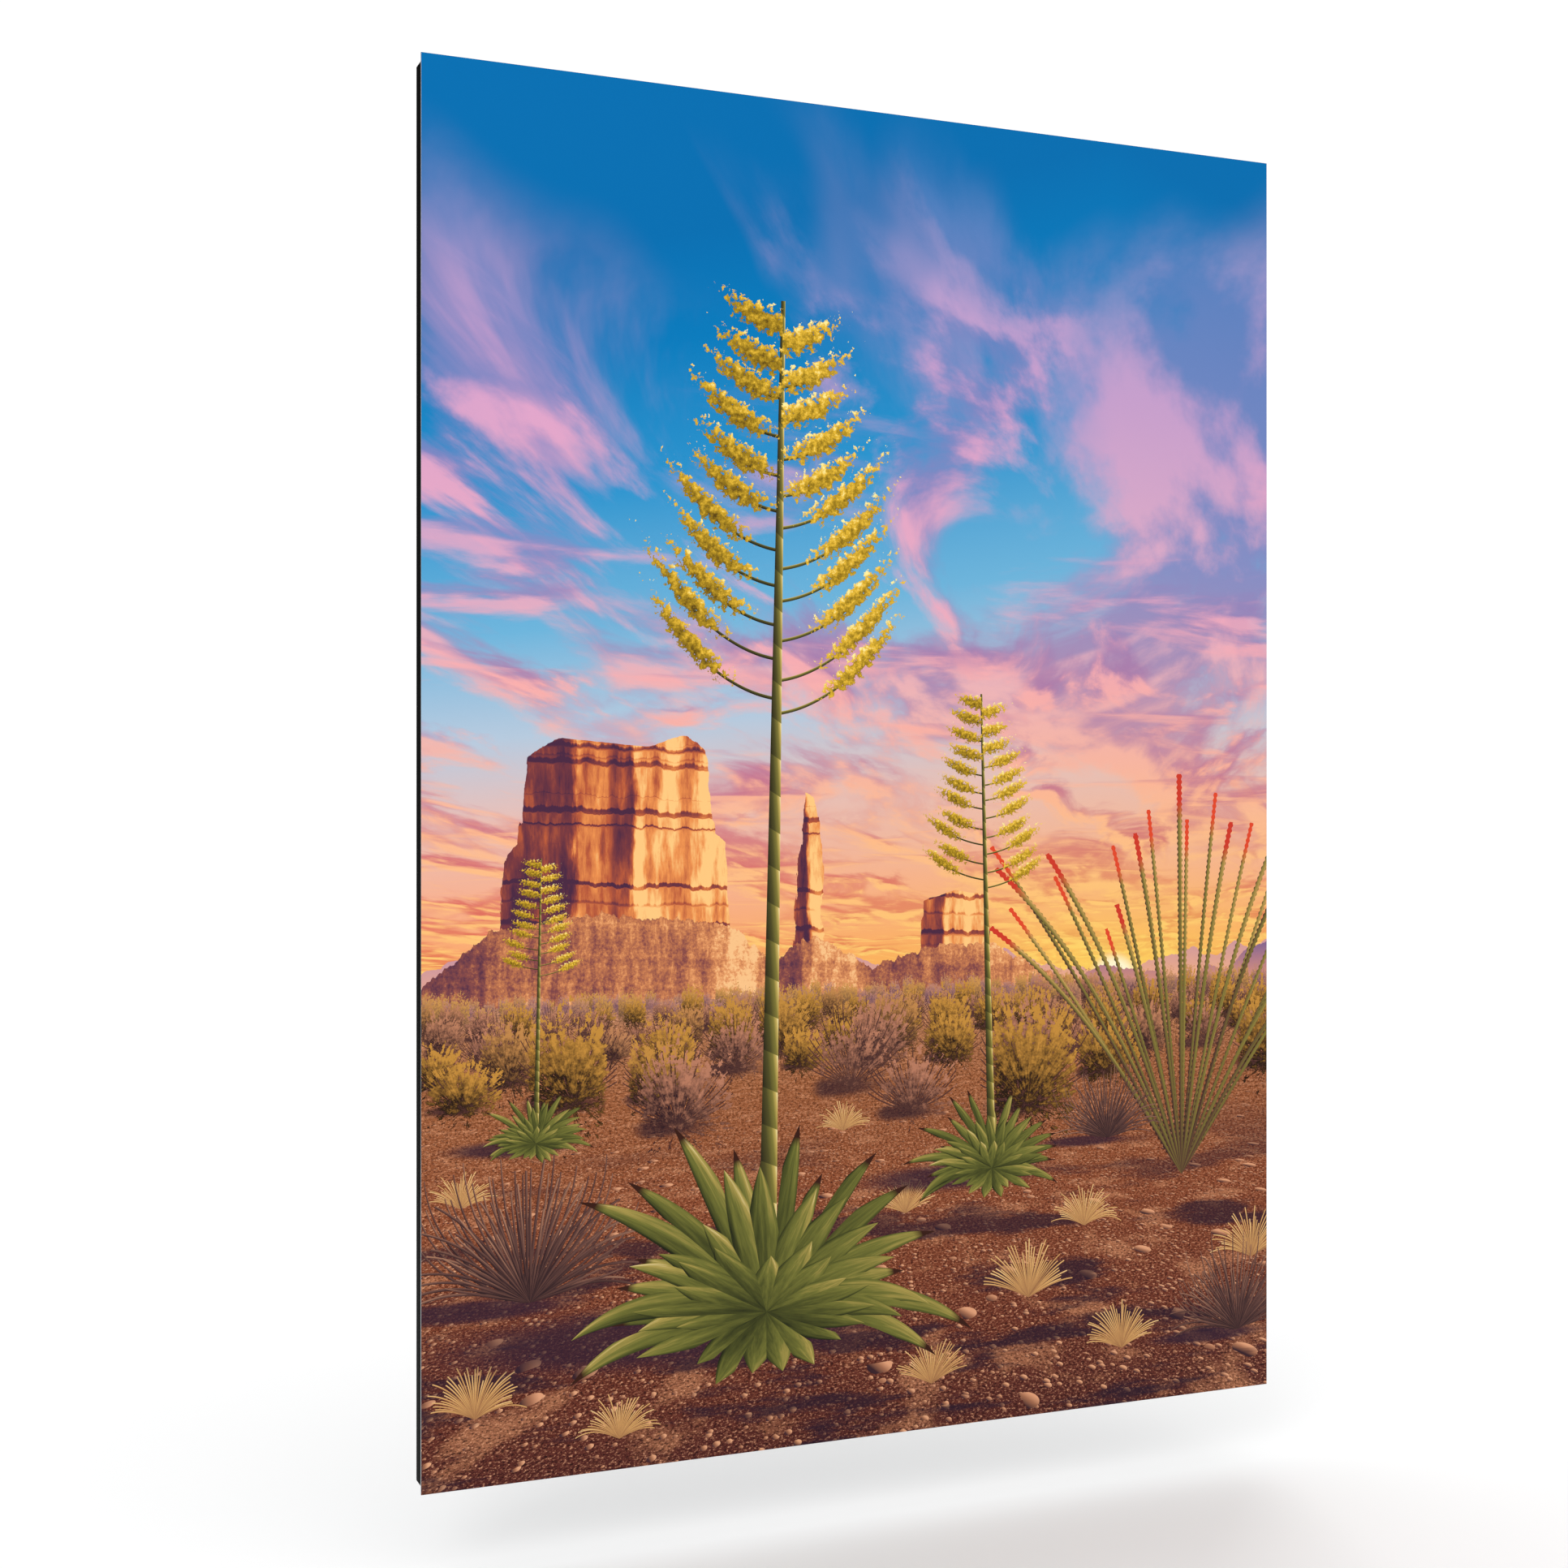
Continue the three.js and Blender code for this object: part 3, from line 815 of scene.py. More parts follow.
@dataclass(frozen=True)
class CastShadow(Layer):
    """A plant's shadow on the ground, a soft flat ellipse."""

    x: float
    z: float
    half_width: float
    half_height: float

    def reach(self) -> Tile:
        """Give the tile that the layer stays inside."""
        wide, tall = self.half_width, self.half_height
        return Tile(self.x - wide, self.x + wide, self.z - tall, self.z + tall)

    def paint(self, canvas: Canvas) -> None:
        """Lay the shadow on the canvas.

        Args:
            canvas: The picture so far.
        """
        node = canvas.node
        spot = node(COMBINE, *canvas.offset(self.x, self.z))
        spot = node(VECTOR_MULTIPLY, spot, (1 / self.half_width, 1 / self.half_height, 0.0))
        canvas.lay("#331F30", node(SMOOTH, node(VECTOR_LENGTH, spot), 1.0, 0.45, 0.0, 0.85))


@dataclass(frozen=True)
class FlowerStalk(Layer):
    """The tall flower stalk of an old century plant.

    Its thickness, the gap between its arms and their length are shares of its height.
    """

    x: float
    z: float
    height: float
    lean: float
    seed: float
    thickness: float = 0.0098
    gap: float = 0.036
    arm: float = 0.102
    bark: Stops = ((0.0, "#2A2618"), (0.4, "#504C26"), (0.72, "#807838"), (0.9, "#C4AC5C"), (1.0, "#ECDA9A"))
    petals: Stops = ((0.0, "#5B4413"), (0.4, "#A8861F"), (0.75, "#EDBE3A"), (1.0, "#FFF0A0"))

    def reach(self) -> Tile:
        """Give the tile that the layer stays inside.

        Returns:
            The tile.
        """
        tilt, wide = self.lean * self.height, 0.16 * self.height
        left, right = self.x + min(tilt, 0.0) - wide, self.x + max(tilt, 0.0) + wide
        return Tile(left, right, self.z, self.z + 1.06 * self.height)

    def paint(self, canvas: Canvas) -> None:
        """Lay the stem and then the blossom.

        Args:
            canvas: The picture so far.
        """
        node = canvas.node
        right, up = canvas.offset(self.x, self.z)
        right = node(MULTIPLY_ADD, up, -self.lean, right)
        sizes = (share * self.height for share in (1.0, self.thickness, self.gap, self.arm))
        stalk = node(canvas.stencils.stalk, right, up, *sizes, self.seed).outputs
        shine = node(UNCLAMPED, stalk["Side"], -0.9, 1.5)
        canvas.lay(node(RAMP, shine, stops=self.bark), stalk["Stem"])
        canvas.lay(node(RAMP, stalk["Light"], stops=self.petals), stalk["Bloom"])


def agave(x: float, z: float, size: float, seed: float, stalk: float = 0.0, lean: float = 0.0) -> list[Layer]:
    """Compose a century plant: a cast shadow, three whorls of blades and, on an old one, a flower stalk.

    Args:
        x: Its foot's x, in millimetres.
        z: Its foot's z.
        size: Its longest blade.
        seed: What sets its blades' lengths and turns.
        stalk: The stalk's height, or 0.
        lean: How far the stalk leans for each millimetre of height.

    Returns:
        Its layers, the farthest first.
    """
    grow = partial(Fan, x, z, tones=AGAVE_TONES)
    back = grow(size, 31.0, 1.75, 0.060 * size, seed, curl=0.22, squash=0.92, tip="#3A1E16")
    middle = grow(0.86 * size, 25.0, 1.70, 0.074 * size, seed + 1, curl=0.3, squash=0.80)
    front = grow(0.62 * size, 19.0, 3.2, 0.090 * size, seed + 2, curl=0.0, squash=0.56)
    shadow = CastShadow(x - 0.42 * size, z - 0.05 * size, 1.25 * size, 0.17 * size)
    mast = [FlowerStalk(x, z, stalk, lean, seed)] if stalk else []
    return [shadow, back, *mast, middle, front]


def bare_bush(x: float, z: float, size: float, seed: float) -> list[Layer]:
    """Compose a leafless bush: a cast shadow and three fans of crossing twigs.

    Args:
        x: Its foot's x, in millimetres.
        z: Its foot's z.
        size: Its longest twig.
        seed: What sets its twigs' lengths and turns.

    Returns:
        Its layers, the farthest first.
    """
    layers: list[Layer] = [CastShadow(x - 0.3 * size, z - 0.02 * size, 0.8 * size, 0.09 * size)]
    for i, curl in enumerate((-0.34, 0.30, -0.02)):
        length, count = (1.0 - 0.13 * i) * size, 84.0 - 16.0 * i
        shape = (length, count, 1.35, 0.0105 * size, seed + i)
        layers.append(Fan(x + 2.0 * i, z, *shape, TWIG_TONES, curl, taper=0.7))
    return layers


def scrub_rows(horizon: float) -> list[Layer]:
    """Compose the rows of dry shrubs, larger and further apart towards the viewer.

    Args:
        horizon: The horizon's z, in millimetres.

    Returns:
        The rows, the farthest first.
    """
    hazy = {"gold": ("#70503A", "#CC9450"), "mauve": ("#66465A", "#BC8472"), "twig": "#7E5A56"}
    rows: list[Layer] = []
    for i, drop in enumerate((3.0, 6.0, 10.0, 15.0, 21.0, 29.0, 39.0, 52.0, 70.0, 92.0)):
        looks = hazy if drop < 12.0 else {}
        spacing, height = 8.0 + 0.95 * drop, 10.0 + 0.66 * drop
        rows.append(ShrubRow(horizon - drop, spacing, height, 0.96 - 0.004 * drop, 0.84, i + 1.0, **looks))
    return rows


def straw_tufts() -> list[Layer]:
    """Compose the tufts of dry grass that stand about the foreground.

    Returns:
        The tufts, the farthest first.
    """
    places = (
        (-30.0, -268.0, 24.0), (-322.0, -304.0, 28.0), (22.0, -334.0, 28.0), (178.0, -356.0, 34.0),
        (335.0, -394.0, 42.0), (128.0, -408.0, 48.0), (-312.0, -452.0, 42.0), (212.0, -456.0, 40.0),
        (44.0, -466.0, 36.0), (-206.0, -478.0, 34.0),
    )  # fmt: skip
    tufts: list[Layer] = []
    for i, (x, z, size) in enumerate(places):
        curl = 0.35 - 0.09 * (i % 3)
        tufts.append(Fan(x, z, size, 104.0, 1.15, 0.016 * size, i + 51.0, STRAW_TONES, curl, taper=0.7))
    return tufts


@dataclass(frozen=True)
class DuskPicture:
    """The printed picture, a desert at dusk, as a pattern over the front of the sheet."""

    horizon: float = -165.0
    sun_x: float = 205.0
    rows: tuple[float, ...] = (500.0, 45.0, -95.0, -165.0, -212.0, -275.0, -345.0, -420.0, -500.0)
    columns: tuple[float, ...] = (-350.0, -215.0, 25.0, 350.0)

    def layers(self) -> list[Layer]:
        """List the layers of the whole picture, the farthest first."""
        whips = partial(Fan, 268.0, -322.0, tones=WHIP_TONES, taper=0.3, teeth=0.35)
        return [
            DuskSky(self.horizon, self.sun_x),
            FarHills(self.horizon),
            Buttes(self.horizon),
            DesertFloor(self.horizon),
            *scrub_rows(self.horizon),
            *straw_tufts(),
            *agave(-268.0, -262.0, 46.0, 5.0, 205.0, 0.02),
            whips(320.0, 62.0, 0.66, 2.6, 8.0, curl=0.10, tip="#E2492C"),
            whips(345.0, 54.0, 0.58, 2.9, 9.0, curl=0.42, tip="#CF3A2A"),
            *bare_bush(-276.0, -374.0, 118.0, 31.0),
            *bare_bush(196.0, -288.0, 62.0, 37.0),
            *agave(96.0, -305.0, 78.0, 3.0, 372.0, -0.025),
            *bare_bush(318.0, -452.0, 84.0, 41.0),
            *agave(-92.0, -398.0, 178.0, 1.0, 760.0, 0.018),
        ]

    def tiles(self) -> list[Tile]:
        """List the tiles that the picture is painted in, each by its own material, along each row in turn."""
        sides = list(zip(self.columns, self.columns[1:]))
        return [Tile(*side, *span) for span in zip(self.rows[1:], self.rows) for side in sides]

    def paint(self, node: Adder, stencils: Stencils, tile: Tile) -> Node:
        """Lay one tile of the picture, far layers first.

        Args:
            node: What adds a node to the material.
            stencils: The groups that draw what repeats.
            tile: The tile.

        Returns:
            The node that gives the tile's colour.
        """
        axes = node(SEPARATE, in_millimetres(node)).outputs
        canvas = Canvas(node, stencils, axes["X"], axes["Z"])
        for layer in self.layers():
            if layer.reach().meets(tile):
                layer.paint(canvas)
        return canvas.colour


def new_material(name: str, **constants: float | str) -> tuple[Material, Adder, Node]:
    """Start a material that holds one Principled shader.

    Args:
        name: The material's name.
        **constants: What is the same all over the surface, by the shader's input, with _ for a space.

    Returns:
        The material, what adds a node to it, and its shader.
    """
    material = bpy.data.materials.new(name)
    material.use_nodes = True
    material.node_tree.nodes.clear()
    node = partial(add_node, material.node_tree)
    shader = node(Kind("ShaderNodeBsdfPrincipled"), **constants)
    node(Kind("ShaderNodeOutputMaterial"), Surface=shader)
    return material, node, shader


def in_millimetres(node: Adder) -> Node:
    """Give the place on the panel, in millimetres, to the tree that this adds nodes to."""
    return node(VECTOR_SCALE, node(Kind("ShaderNodeTexCoord")).outputs["Object"], 1 / MM)


@dataclass(frozen=True)
class GlossPrint:
    """Dye print in a gloss polymer coat on aluminium: deep even colour, with a smooth soft shine over it."""

    name: str = "gloss_coated_metal_print"
    peel_mm: float = 2.4
    roughness: float = 0.34
    specular: float = 0.06

    def make_tiles(self, picture: DuskPicture) -> list[Material]:
        """Build one material for each tile of the picture, so that none draws what it doesn't show.

        Args:
            picture: The picture.

        Returns:
            The materials, in the order of the picture's tiles.
        """
        fan = fan_stencil()
        stencils = Stencils(fan, stalk_stencil(), shrub_stencil(fan))
        return [self.make(picture, stencils, tile, i + 1) for i, tile in enumerate(picture.tiles())]

    def make(self, picture: DuskPicture, stencils: Stencils, tile: Tile, number: int) -> Material:
        """Build the material of one tile.

        Args:
            picture: The picture.
            stencils: The groups that draw what repeats.
            tile: The tile.
            number: The tile's number.

        Returns:
            The material.
        """
        constants = {"Roughness": self.roughness, "Specular_IOR_Level": self.specular}
        material, node, shader = new_material(f"{self.name}_{number}", **constants)
        colour = picture.paint(node, stencils, tile)
        peel = node(NOISE, in_millimetres(node), Scale=1 / self.peel_mm, Detail=1.0)
        bump = node(BUMP, Height=peel, Strength=0.05, Distance=0.05 * MM)
        plug(shader, Base_Color=colour, Normal=bump)
        return material


@dataclass(frozen=True)
class MillAluminium:
    """Rolled aluminium as it left the mill: pale dull metal with faint lines along the rolling direction."""

    name: str = "mill_finish_aluminium"
    line_mm: float = 0.7
    line_length_mm: float = 70.0
    cloud_mm: float = 90.0
    dull: str = "#A9ADB0"
    bright: str = "#CDD0D2"
    blend_span: Span = (0.45, 1.05)
    roughness: Span = (0.46, 0.3)

    def make(self) -> Material:
        """Build the material.

        Returns:
            The material.
        """
        material, node, shader = new_material(self.name, Metallic=1.0)
        place = in_millimetres(node)
        along = node(VECTOR_MULTIPLY, place, (1 / self.line_mm, 1 / self.line_mm, 1 / self.line_length_mm))
        lines = node(NOISE, along, Scale=1.0, Detail=4.0, Roughness=0.6)
        clouds = node(NOISE, place, Scale=1 / self.cloud_mm, Detail=3.0)
        blend = node(MULTIPLY_ADD, clouds, 0.5, lines)
        colour = node(COLOUR_MIX, node(CLAMPED, blend, *self.blend_span), self.dull, self.bright)
        rough = node(CLAMPED, blend, *self.blend_span, *self.roughness)
        bump = node(BUMP, Height=lines, Strength=0.12, Distance=0.03 * MM)
        plug(shader, Base_Color=colour, Roughness=rough, Normal=bump)
        return material


@dataclass(frozen=True)
class SprayedFibreboard:
    """Fibreboard sprayed matte black: deep black on the outer walls, which got two coats.

    On the rear the coat is thin, so that the fine fibres and some dust show as a soft grey grain.
    """

    name: str = "black_sprayed_fibreboard"
    fibre_mm: float = 0.9
    spray_mm: float = 0.35
    dust_mm: float = 45.0
    black: str = "#070707"
    dusty: str = "#242425"
    second_coat: str = "#010101"
    second_share: float = 0.85
    coat_edge_mm: float = 0.8
    tone_span: Span = (0.65, 1.15)
    fibre_span: Span = (0.3, 0.7)
    roughness: Span = (0.66, 0.84)

    def make(self, half_width: float, half_height: float) -> Material:
        """Build the material.

        Args:
            half_width: How far the outer walls stand from the panel's middle along x, in millimetres.
            half_height: How far they stand along z.

        Returns:
            The material.
        """
        material, node, shader = new_material(self.name, Specular_IOR_Level=0.05)
        place = in_millimetres(node)
        away = node(SEPARATE, node(VECTOR_ABSOLUTE, place)).outputs
        walls = ((away["X"], half_width), (away["Z"], half_height))
        edges = ((far, wall - self.coat_edge_mm, wall) for far, wall in walls)
        coated = node(MAXIMUM, *[node(CLAMPED, *edge, 0.0, self.second_share) for edge in edges])
        fibres = node(NOISE, place, Scale=1 / self.fibre_mm, Detail=5.0, Roughness=0.65, Distortion=0.6)
        dust = node(NOISE, place, Scale=1 / self.dust_mm, Detail=4.0)
        tone = node(CLAMPED, node(MULTIPLY_ADD, dust, 0.8, fibres), *self.tone_span)
        colour = node(COLOUR_MIX, tone, self.black, self.dusty)
        colour = node(COLOUR_MIX, coated, colour, self.second_coat)
        rough = node(CLAMPED, fibres, *self.fibre_span, *self.roughness)
        spray = node(NOISE, place, Scale=1 / self.spray_mm, Detail=2.0)
        bump = node(BUMP, Height=node(MULTIPLY_ADD, spray, 0.5, fibres), Strength=0.4, Distance=0.12 * MM)
        plug(shader, Base_Color=colour, Roughness=rough, Normal=bump)
        return material


@dataclass(frozen=True)
class BrightZinc:
    """Pressed steel, bright zinc plated: cool silver metal, clouded by its fine crystals and by handling."""

    name: str = "bright_zinc_plated_steel"
    crystal_mm: float = 1.1
    cloud_mm: float = 9.0
    scuff_mm: float = 0.4
    cool: str = "#A7AEB6"
    pale: str = "#D3D7DA"
    blend_span: Span = (0.38, 0.8)
    roughness: Span = (0.4, 0.24)

    def make(self) -> Material:
        """Build the material.

        Returns:
            The material.
        """
        material, node, shader = new_material(self.name, Metallic=1.0)
        place = in_millimetres(node)
        crystals = node(VORONOI, place, Scale=1 / self.crystal_mm)
        cells = node(CHANNELS, crystals.outputs["Color"])
        clouds = node(NOISE, place, Scale=1 / self.cloud_mm, Detail=5.0, Roughness=0.6)
        blend = node(MULTIPLY_ADD, cells, 0.18, clouds)
        colour = node(COLOUR_MIX, node(CLAMPED, blend, *self.blend_span), self.cool, self.pale)
        rough = node(CLAMPED, blend, *self.blend_span, *self.roughness)
        stretched = node(VECTOR_MULTIPLY, place, (1 / self.scuff_mm, 1 / self.scuff_mm, 0.08))
        scuffs = node(NOISE, stretched, Scale=1.0, Detail=3.0)
        bump = node(BUMP, Height=scuffs, Strength=0.1, Distance=0.03 * MM)
        plug(shader, Base_Color=colour, Roughness=rough, Normal=bump)
        return material


@dataclass(frozen=True)
class YellowZinc:
    """Turned steel, yellow zinc plated: straw gold metal with the rose and green tints of its thin film."""

    name: str = "yellow_zinc_plated_steel"
    tint_mm: float = 2.6
    film_span: Span = (0.28, 0.72)
    roughness: Span = (0.26, 0.38)
    tints: Stops = (
        (0.0, "#B8868A"), (0.32, "#C9A468"), (0.52, "#D2BC7C"), (0.72, "#C6B66E"), (1.0, "#8FA583"),
    )  # fmt: skip

    def make(self) -> Material:
        """Build the material.

        Returns:
            The material.
        """
        material, node, shader = new_material(self.name, Metallic=1.0)
        film = node(NOISE, in_millimetres(node), Scale=1 / self.tint_mm, Detail=2.0)
        colour = node(RAMP, node(CLAMPED, film, *self.film_span), stops=self.tints)
        rough = node(CLAMPED, film, *self.film_span, *self.roughness)
        plug(shader, Base_Color=colour, Roughness=rough)
        return material


@dataclass(frozen=True)
class FoamTape:
    """Acrylic foam tape, cast and slit: a soft even grey with fine closed pores at its cut edges."""

    name: str = "grey_acrylic_foam_tape"
    pore_mm: float = 0.25
    dark: str = "#5F6265"
    light: str = "#84878A"
    pore_span: Span = (0.1, 0.7)

    def make(self) -> Material:
        """Build the material.

        Returns:
            The material.
        """
        material, node, shader = new_material(self.name, Roughness=0.86)
        pores = node(VORONOI, in_millimetres(node), Scale=1 / self.pore_mm)
        colour = node(COLOUR_MIX, node(CLAMPED, pores, *self.pore_span), self.dark, self.light)
        bump = node(BUMP, Height=pores, Strength=0.3, Distance=0.05 * MM)
        plug(shader, Base_Color=colour, Normal=bump)
        return material


@dataclass(frozen=True)
class StudioPaper:
    """White studio paper under the panel. It thins out to nothing, so that no far edge shows."""

    name: str = "white_studio_paper"
    solid_radius: float = 0.9
    clear_radius: float = 2.6

    def make(self) -> Material:
        """Build the material.

        Returns:
            The material.
        """
        constants = {"Base_Color": "#FAFAFA", "Roughness": 0.95, "Specular_IOR_Level": 0.0}
        material, node, shader = new_material(self.name, **constants)
        place = node(Kind("ShaderNodeTexCoord")).outputs["Object"]
        away = node(VECTOR_LENGTH, node(VECTOR_MULTIPLY, place, (1.0, 1.0, 0.0)))
        fade = Kind("ShaderNodeMapRange", {"interpolation_type": "SMOOTHSTEP"})
        plug(shader, Alpha=node(fade, away, self.clear_radius, self.solid_radius))
        return material


def box_of(name: str) -> tuple[Vector, Vector]:
    """Give a CAD node's lowest and highest corner, in millimetres."""
    low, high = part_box(name)
    return Vector(low) / MM, Vector(high) / MM


def centre_of(name: str) -> Vector:
    """Give the middle of a CAD node's box, in millimetres."""
    low, high = box_of(name)
    return (low + high) / 2


def rectangle(low: Vector, high: Vector, inset: float = 0.0) -> Outline:
    """Draw a rectangle between two corners.

    Args:
        low: The lowest corner, in millimetres.
        high: The highest corner.
        inset: How much smaller the rectangle is, all round.

    Returns:
        The outline, from its lowest corner.
    """
    left, right = low.x + inset, high.x - inset
    bottom, top = low.z + inset, high.z - inset
    return [(left, bottom), (right, bottom), (right, top), (left, top)]


def arc(x: float, z: float, radius: float, start: float, end: float, steps: int = 8) -> Outline:
    """Draw a round stretch of an outline.

    Args:
        x: The arc's centre along x, in millimetres.
        z: Its centre along z.
        radius: Its radius.
        start: The angle it starts at, in degrees from +X towards +Z.
        end: The angle it ends at.
        steps: How many straight pieces stand for it.

    Returns:
        The points, both ends included.
    """
    angles = [math.radians(start + (end - start) * i / steps) for i in range(steps + 1)]
    return [(x + radius * math.cos(a), z + radius * math.sin(a)) for a in angles]


def rounded_rectangle(middle: Vector, width: float, height: float, radius: float) -> Outline:
    """Draw a rectangle with round corners.

    Args:
        middle: Its middle, in millimetres.
        width: Its size along x.
        height: Its size along z.
        radius: The corners' radius.

    Returns:
        The outline.
    """
    x, z = width / 2 - radius, height / 2 - radius
    corners = ((x, z, 0), (-x, z, 90), (-x, -z, 180), (x, -z, 270))
    drawn = [point for cx, cz, start in corners for point in arc(cx, cz, radius, start, start + 90)]
    return [(x + middle.x, z + middle.z) for x, z in drawn]


def add_rings(mesh: Mesh, rings: Sequence[Sequence[Point]]) -> list[bmesh.types.BMFace]:
    """Add a solid that runs through rings of points, with a flat face over its first and its last ring.

    Args:
        mesh: The mesh that takes it.
        rings: The rings, each of as many points, in millimetres.

    Returns:
        The two flat faces.
    """
    drawn = [[mesh.verts.new([part * MM for part in point]) for point in ring] for ring in rings]
    ends = [mesh.faces.new(ring) for ring in (drawn[0], drawn[-1])]
    walls = []
    for near, far in zip(drawn, drawn[1:]):
        around = zip(near, far, far[1:] + far[:1], near[1:] + near[:1])
        walls += [mesh.faces.new(corners) for corners in around]
    bmesh.ops.recalc_face_normals(mesh, faces=ends + walls)
    return ends


def ease(mesh: Mesh, edges: list[bmesh.types.BMEdge], radius: float, steps: int = 3) -> None:
    """Round edges of a mesh, to a radius in millimetres, in so many flat steps."""
    bmesh.ops.bevel(mesh, geom=edges, offset=radius * MM, segments=steps, profile=0.5, affect="EDGES")


def add_prism(mesh: Mesh, outline: Outline, rear: float, front: float, eased: float = 0.0) -> None:
    """Add a slab of an outline to a mesh.

    Args:
        mesh: The mesh that takes it.
        outline: Its outline, in millimetres.
        rear: The y of its rear face, in millimetres.
        front: The y of its front face, nearer the viewer.
        eased: How far the edges round its two faces are rounded.
    """
    faces = add_rings(mesh, [[(x, y, z) for x, z in outline] for y in (front, rear)])
    if eased:
        ease(mesh, [edge for face in faces for edge in face.edges], eased)


def add_lathe(mesh: Mesh, middle: Vector, profile: Curve, steps: int) -> None:
    """Add a solid turned about an axis along y.

    Args:
        mesh: The mesh that takes it.
        middle: A place on the axis, in millimetres.
        profile: Radii, each with its y, from the front to the rear.
        steps: How many flats stand for a full turn.
    """
    x, _, z = middle
    turns = [math.tau * i / steps for i in range(steps)]
    add_rings(mesh, [[(x + r * math.cos(t), y, z + r * math.sin(t)) for t in turns] for r, y in profile])


def add_object(name: str, data: bpy.types.ID) -> Piece:
    """Add an object to the scene.

    Args:
        name: Its name.
        data: Its mesh, light or camera.

    Returns:
        The object.
    """
    made = bpy.data.objects.new(name, data)
    bpy.context.scene.collection.objects.link(made)
    return made


def make_piece(mesh: Mesh, name: str, *materials: Material) -> Piece:
    """Turn a mesh into an object of the scene.

    Args:
        mesh: The mesh, in metres, in the panel's frame. It is freed.
        name: The object's name.
        *materials: Its materials.

    Returns:
        The object.
    """
    data = bpy.data.meshes.new(name)
    mesh.to_mesh(data)
    mesh.free()
    for material in materials:
        data.materials.append(material)
    return add_object(name, data)


def settle(piece: Piece) -> None:
    """Turn an object's modifiers into plain mesh.

    Args:
        piece: The object.
    """
    spent = piece.data
    seen = piece.evaluated_get(bpy.context.evaluated_depsgraph_get())
    made = bpy.data.meshes.new_from_object(seen)
    piece.modifiers.clear()
    piece.data = made
    bpy.data.meshes.remove(spent)
    made.name = piece.name


def carve(piece: Piece, tools: Sequence[Mesh]) -> None:
    """Cut tools out of a piece, one after the other.

    Args:
        piece: The piece.
        tools: The meshes to cut away. They are freed.
    """
    cutters = [make_piece(tool, f"{piece.name}_cutter_{i}") for i, tool in enumerate(tools)]
    for cutter in cutters:
        change = piece.modifiers.new("cut", "BOOLEAN")
        change.operation = "DIFFERENCE"
        change.solver = "EXACT"
        change.object = cutter
    settle(piece)
    for cutter in cutters:
        bpy.data.meshes.remove(cutter.data)


def hand_over(piece: Piece, nodes: Sequence[str], crease: float | None = None) -> None:
    """Attach a finished piece to the body, hide the CAD nodes it stands for, and log it.

    Args:
        piece: The finished piece.
        nodes: The CAD nodes that it replaces.
        crease: The angle in degrees from which its edges stay sharp, where the rest of it is shaded smooth.
    """
    if crease:
        piece.data.shade_smooth()
        piece.data.set_sharp_from_angle(angle=math.radians(crease))
    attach(piece, BODY)
    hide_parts(*nodes)
    log.info("%s: %d faces, for %d nodes", piece.name, len(piece.data.polygons), len(nodes))


@dataclass
class PrintSheet:
    """The picture sheet: a clear coat that holds the print, over a sheet of rolled aluminium."""

    node_name: str = "print_sheet"
    coat: float = 0.08
    edge_round: float = 0.18
    round_steps: int = 2
    map_corner: Span = (0.002, 0.01)
    map_size: Span = (0.99, 0.98)
    map_spare: Span = (0.996, 0.996)

    def build(self) -> None:
        """Build and dress the aluminium, with its sheared edges eased, and the printed coat on its front."""
        low, high = box_of(self.node_name)
        face_y = low.y + self.coat
        mesh = bmesh.new()
        add_prism(mesh, rectangle(low, high), high.y, face_y)
        ease(mesh, list(mesh.edges), self.edge_round, self.round_steps)
        hand_over(make_piece(mesh, "sheet_core", MillAluminium().make()), [self.node_name])
        self.build_face(low, high, face_y)

    def build_face(self, low: Vector, high: Vector, rear: float) -> None:
        """Build the coat. Its map spreads the picture over the whole of the map's square.

        The coat's rims and rear share the spare corner of that square.

        Args:
            low: The sheet's lowest corner, in millimetres.
            high: Its highest corner.
            rear: The y of the coat's rear face.
        """
        mesh = bmesh.new()
        outline = rectangle(low, high, self.edge_round)
        (left, bottom), _, (right, top), _ = outline
        (map_left, map_low), (map_width, map_height) = self.map_corner, self.map_size
        add_prism(mesh, outline, rear, low.y)
        layer = mesh.loops.layers.uv.new("OFBake")
        for face in mesh.faces:
            front = face.normal.y < -0.5
            for loop in face.loops:
                across = (loop.vert.co.x / MM - left) / (right - left)
                up = (loop.vert.co.z / MM - bottom) / (top - bottom)
                spread = (map_left + map_width * across, map_low + map_height * up)
                loop[layer].uv = spread if front else self.map_spare
        picture = DuskPicture()
        rows, columns = picture.rows[1:-1], picture.columns[1:-1]
        cuts = [((0.0, 0.0, row * MM), (0.0, 0.0, 1.0)) for row in rows]
        cuts += [((column * MM, 0.0, 0.0), (1.0, 0.0, 0.0)) for column in columns]
        for place, direction in cuts:
            parts = [*mesh.verts, *mesh.edges, *mesh.faces]
            bmesh.ops.bisect_plane(mesh, geom=parts, plane_co=place, plane_no=direction)
        for face in mesh.faces:
            middle = face.calc_center_median() / MM
            row = sum(middle.z < border for border in rows)
            face.material_index = row * (len(columns) + 1) + sum(middle.x > border for border in columns)
        piece = make_piece(mesh, "print_face", *GlossPrint().make_tiles(picture))
        hand_over(piece, [self.node_name])


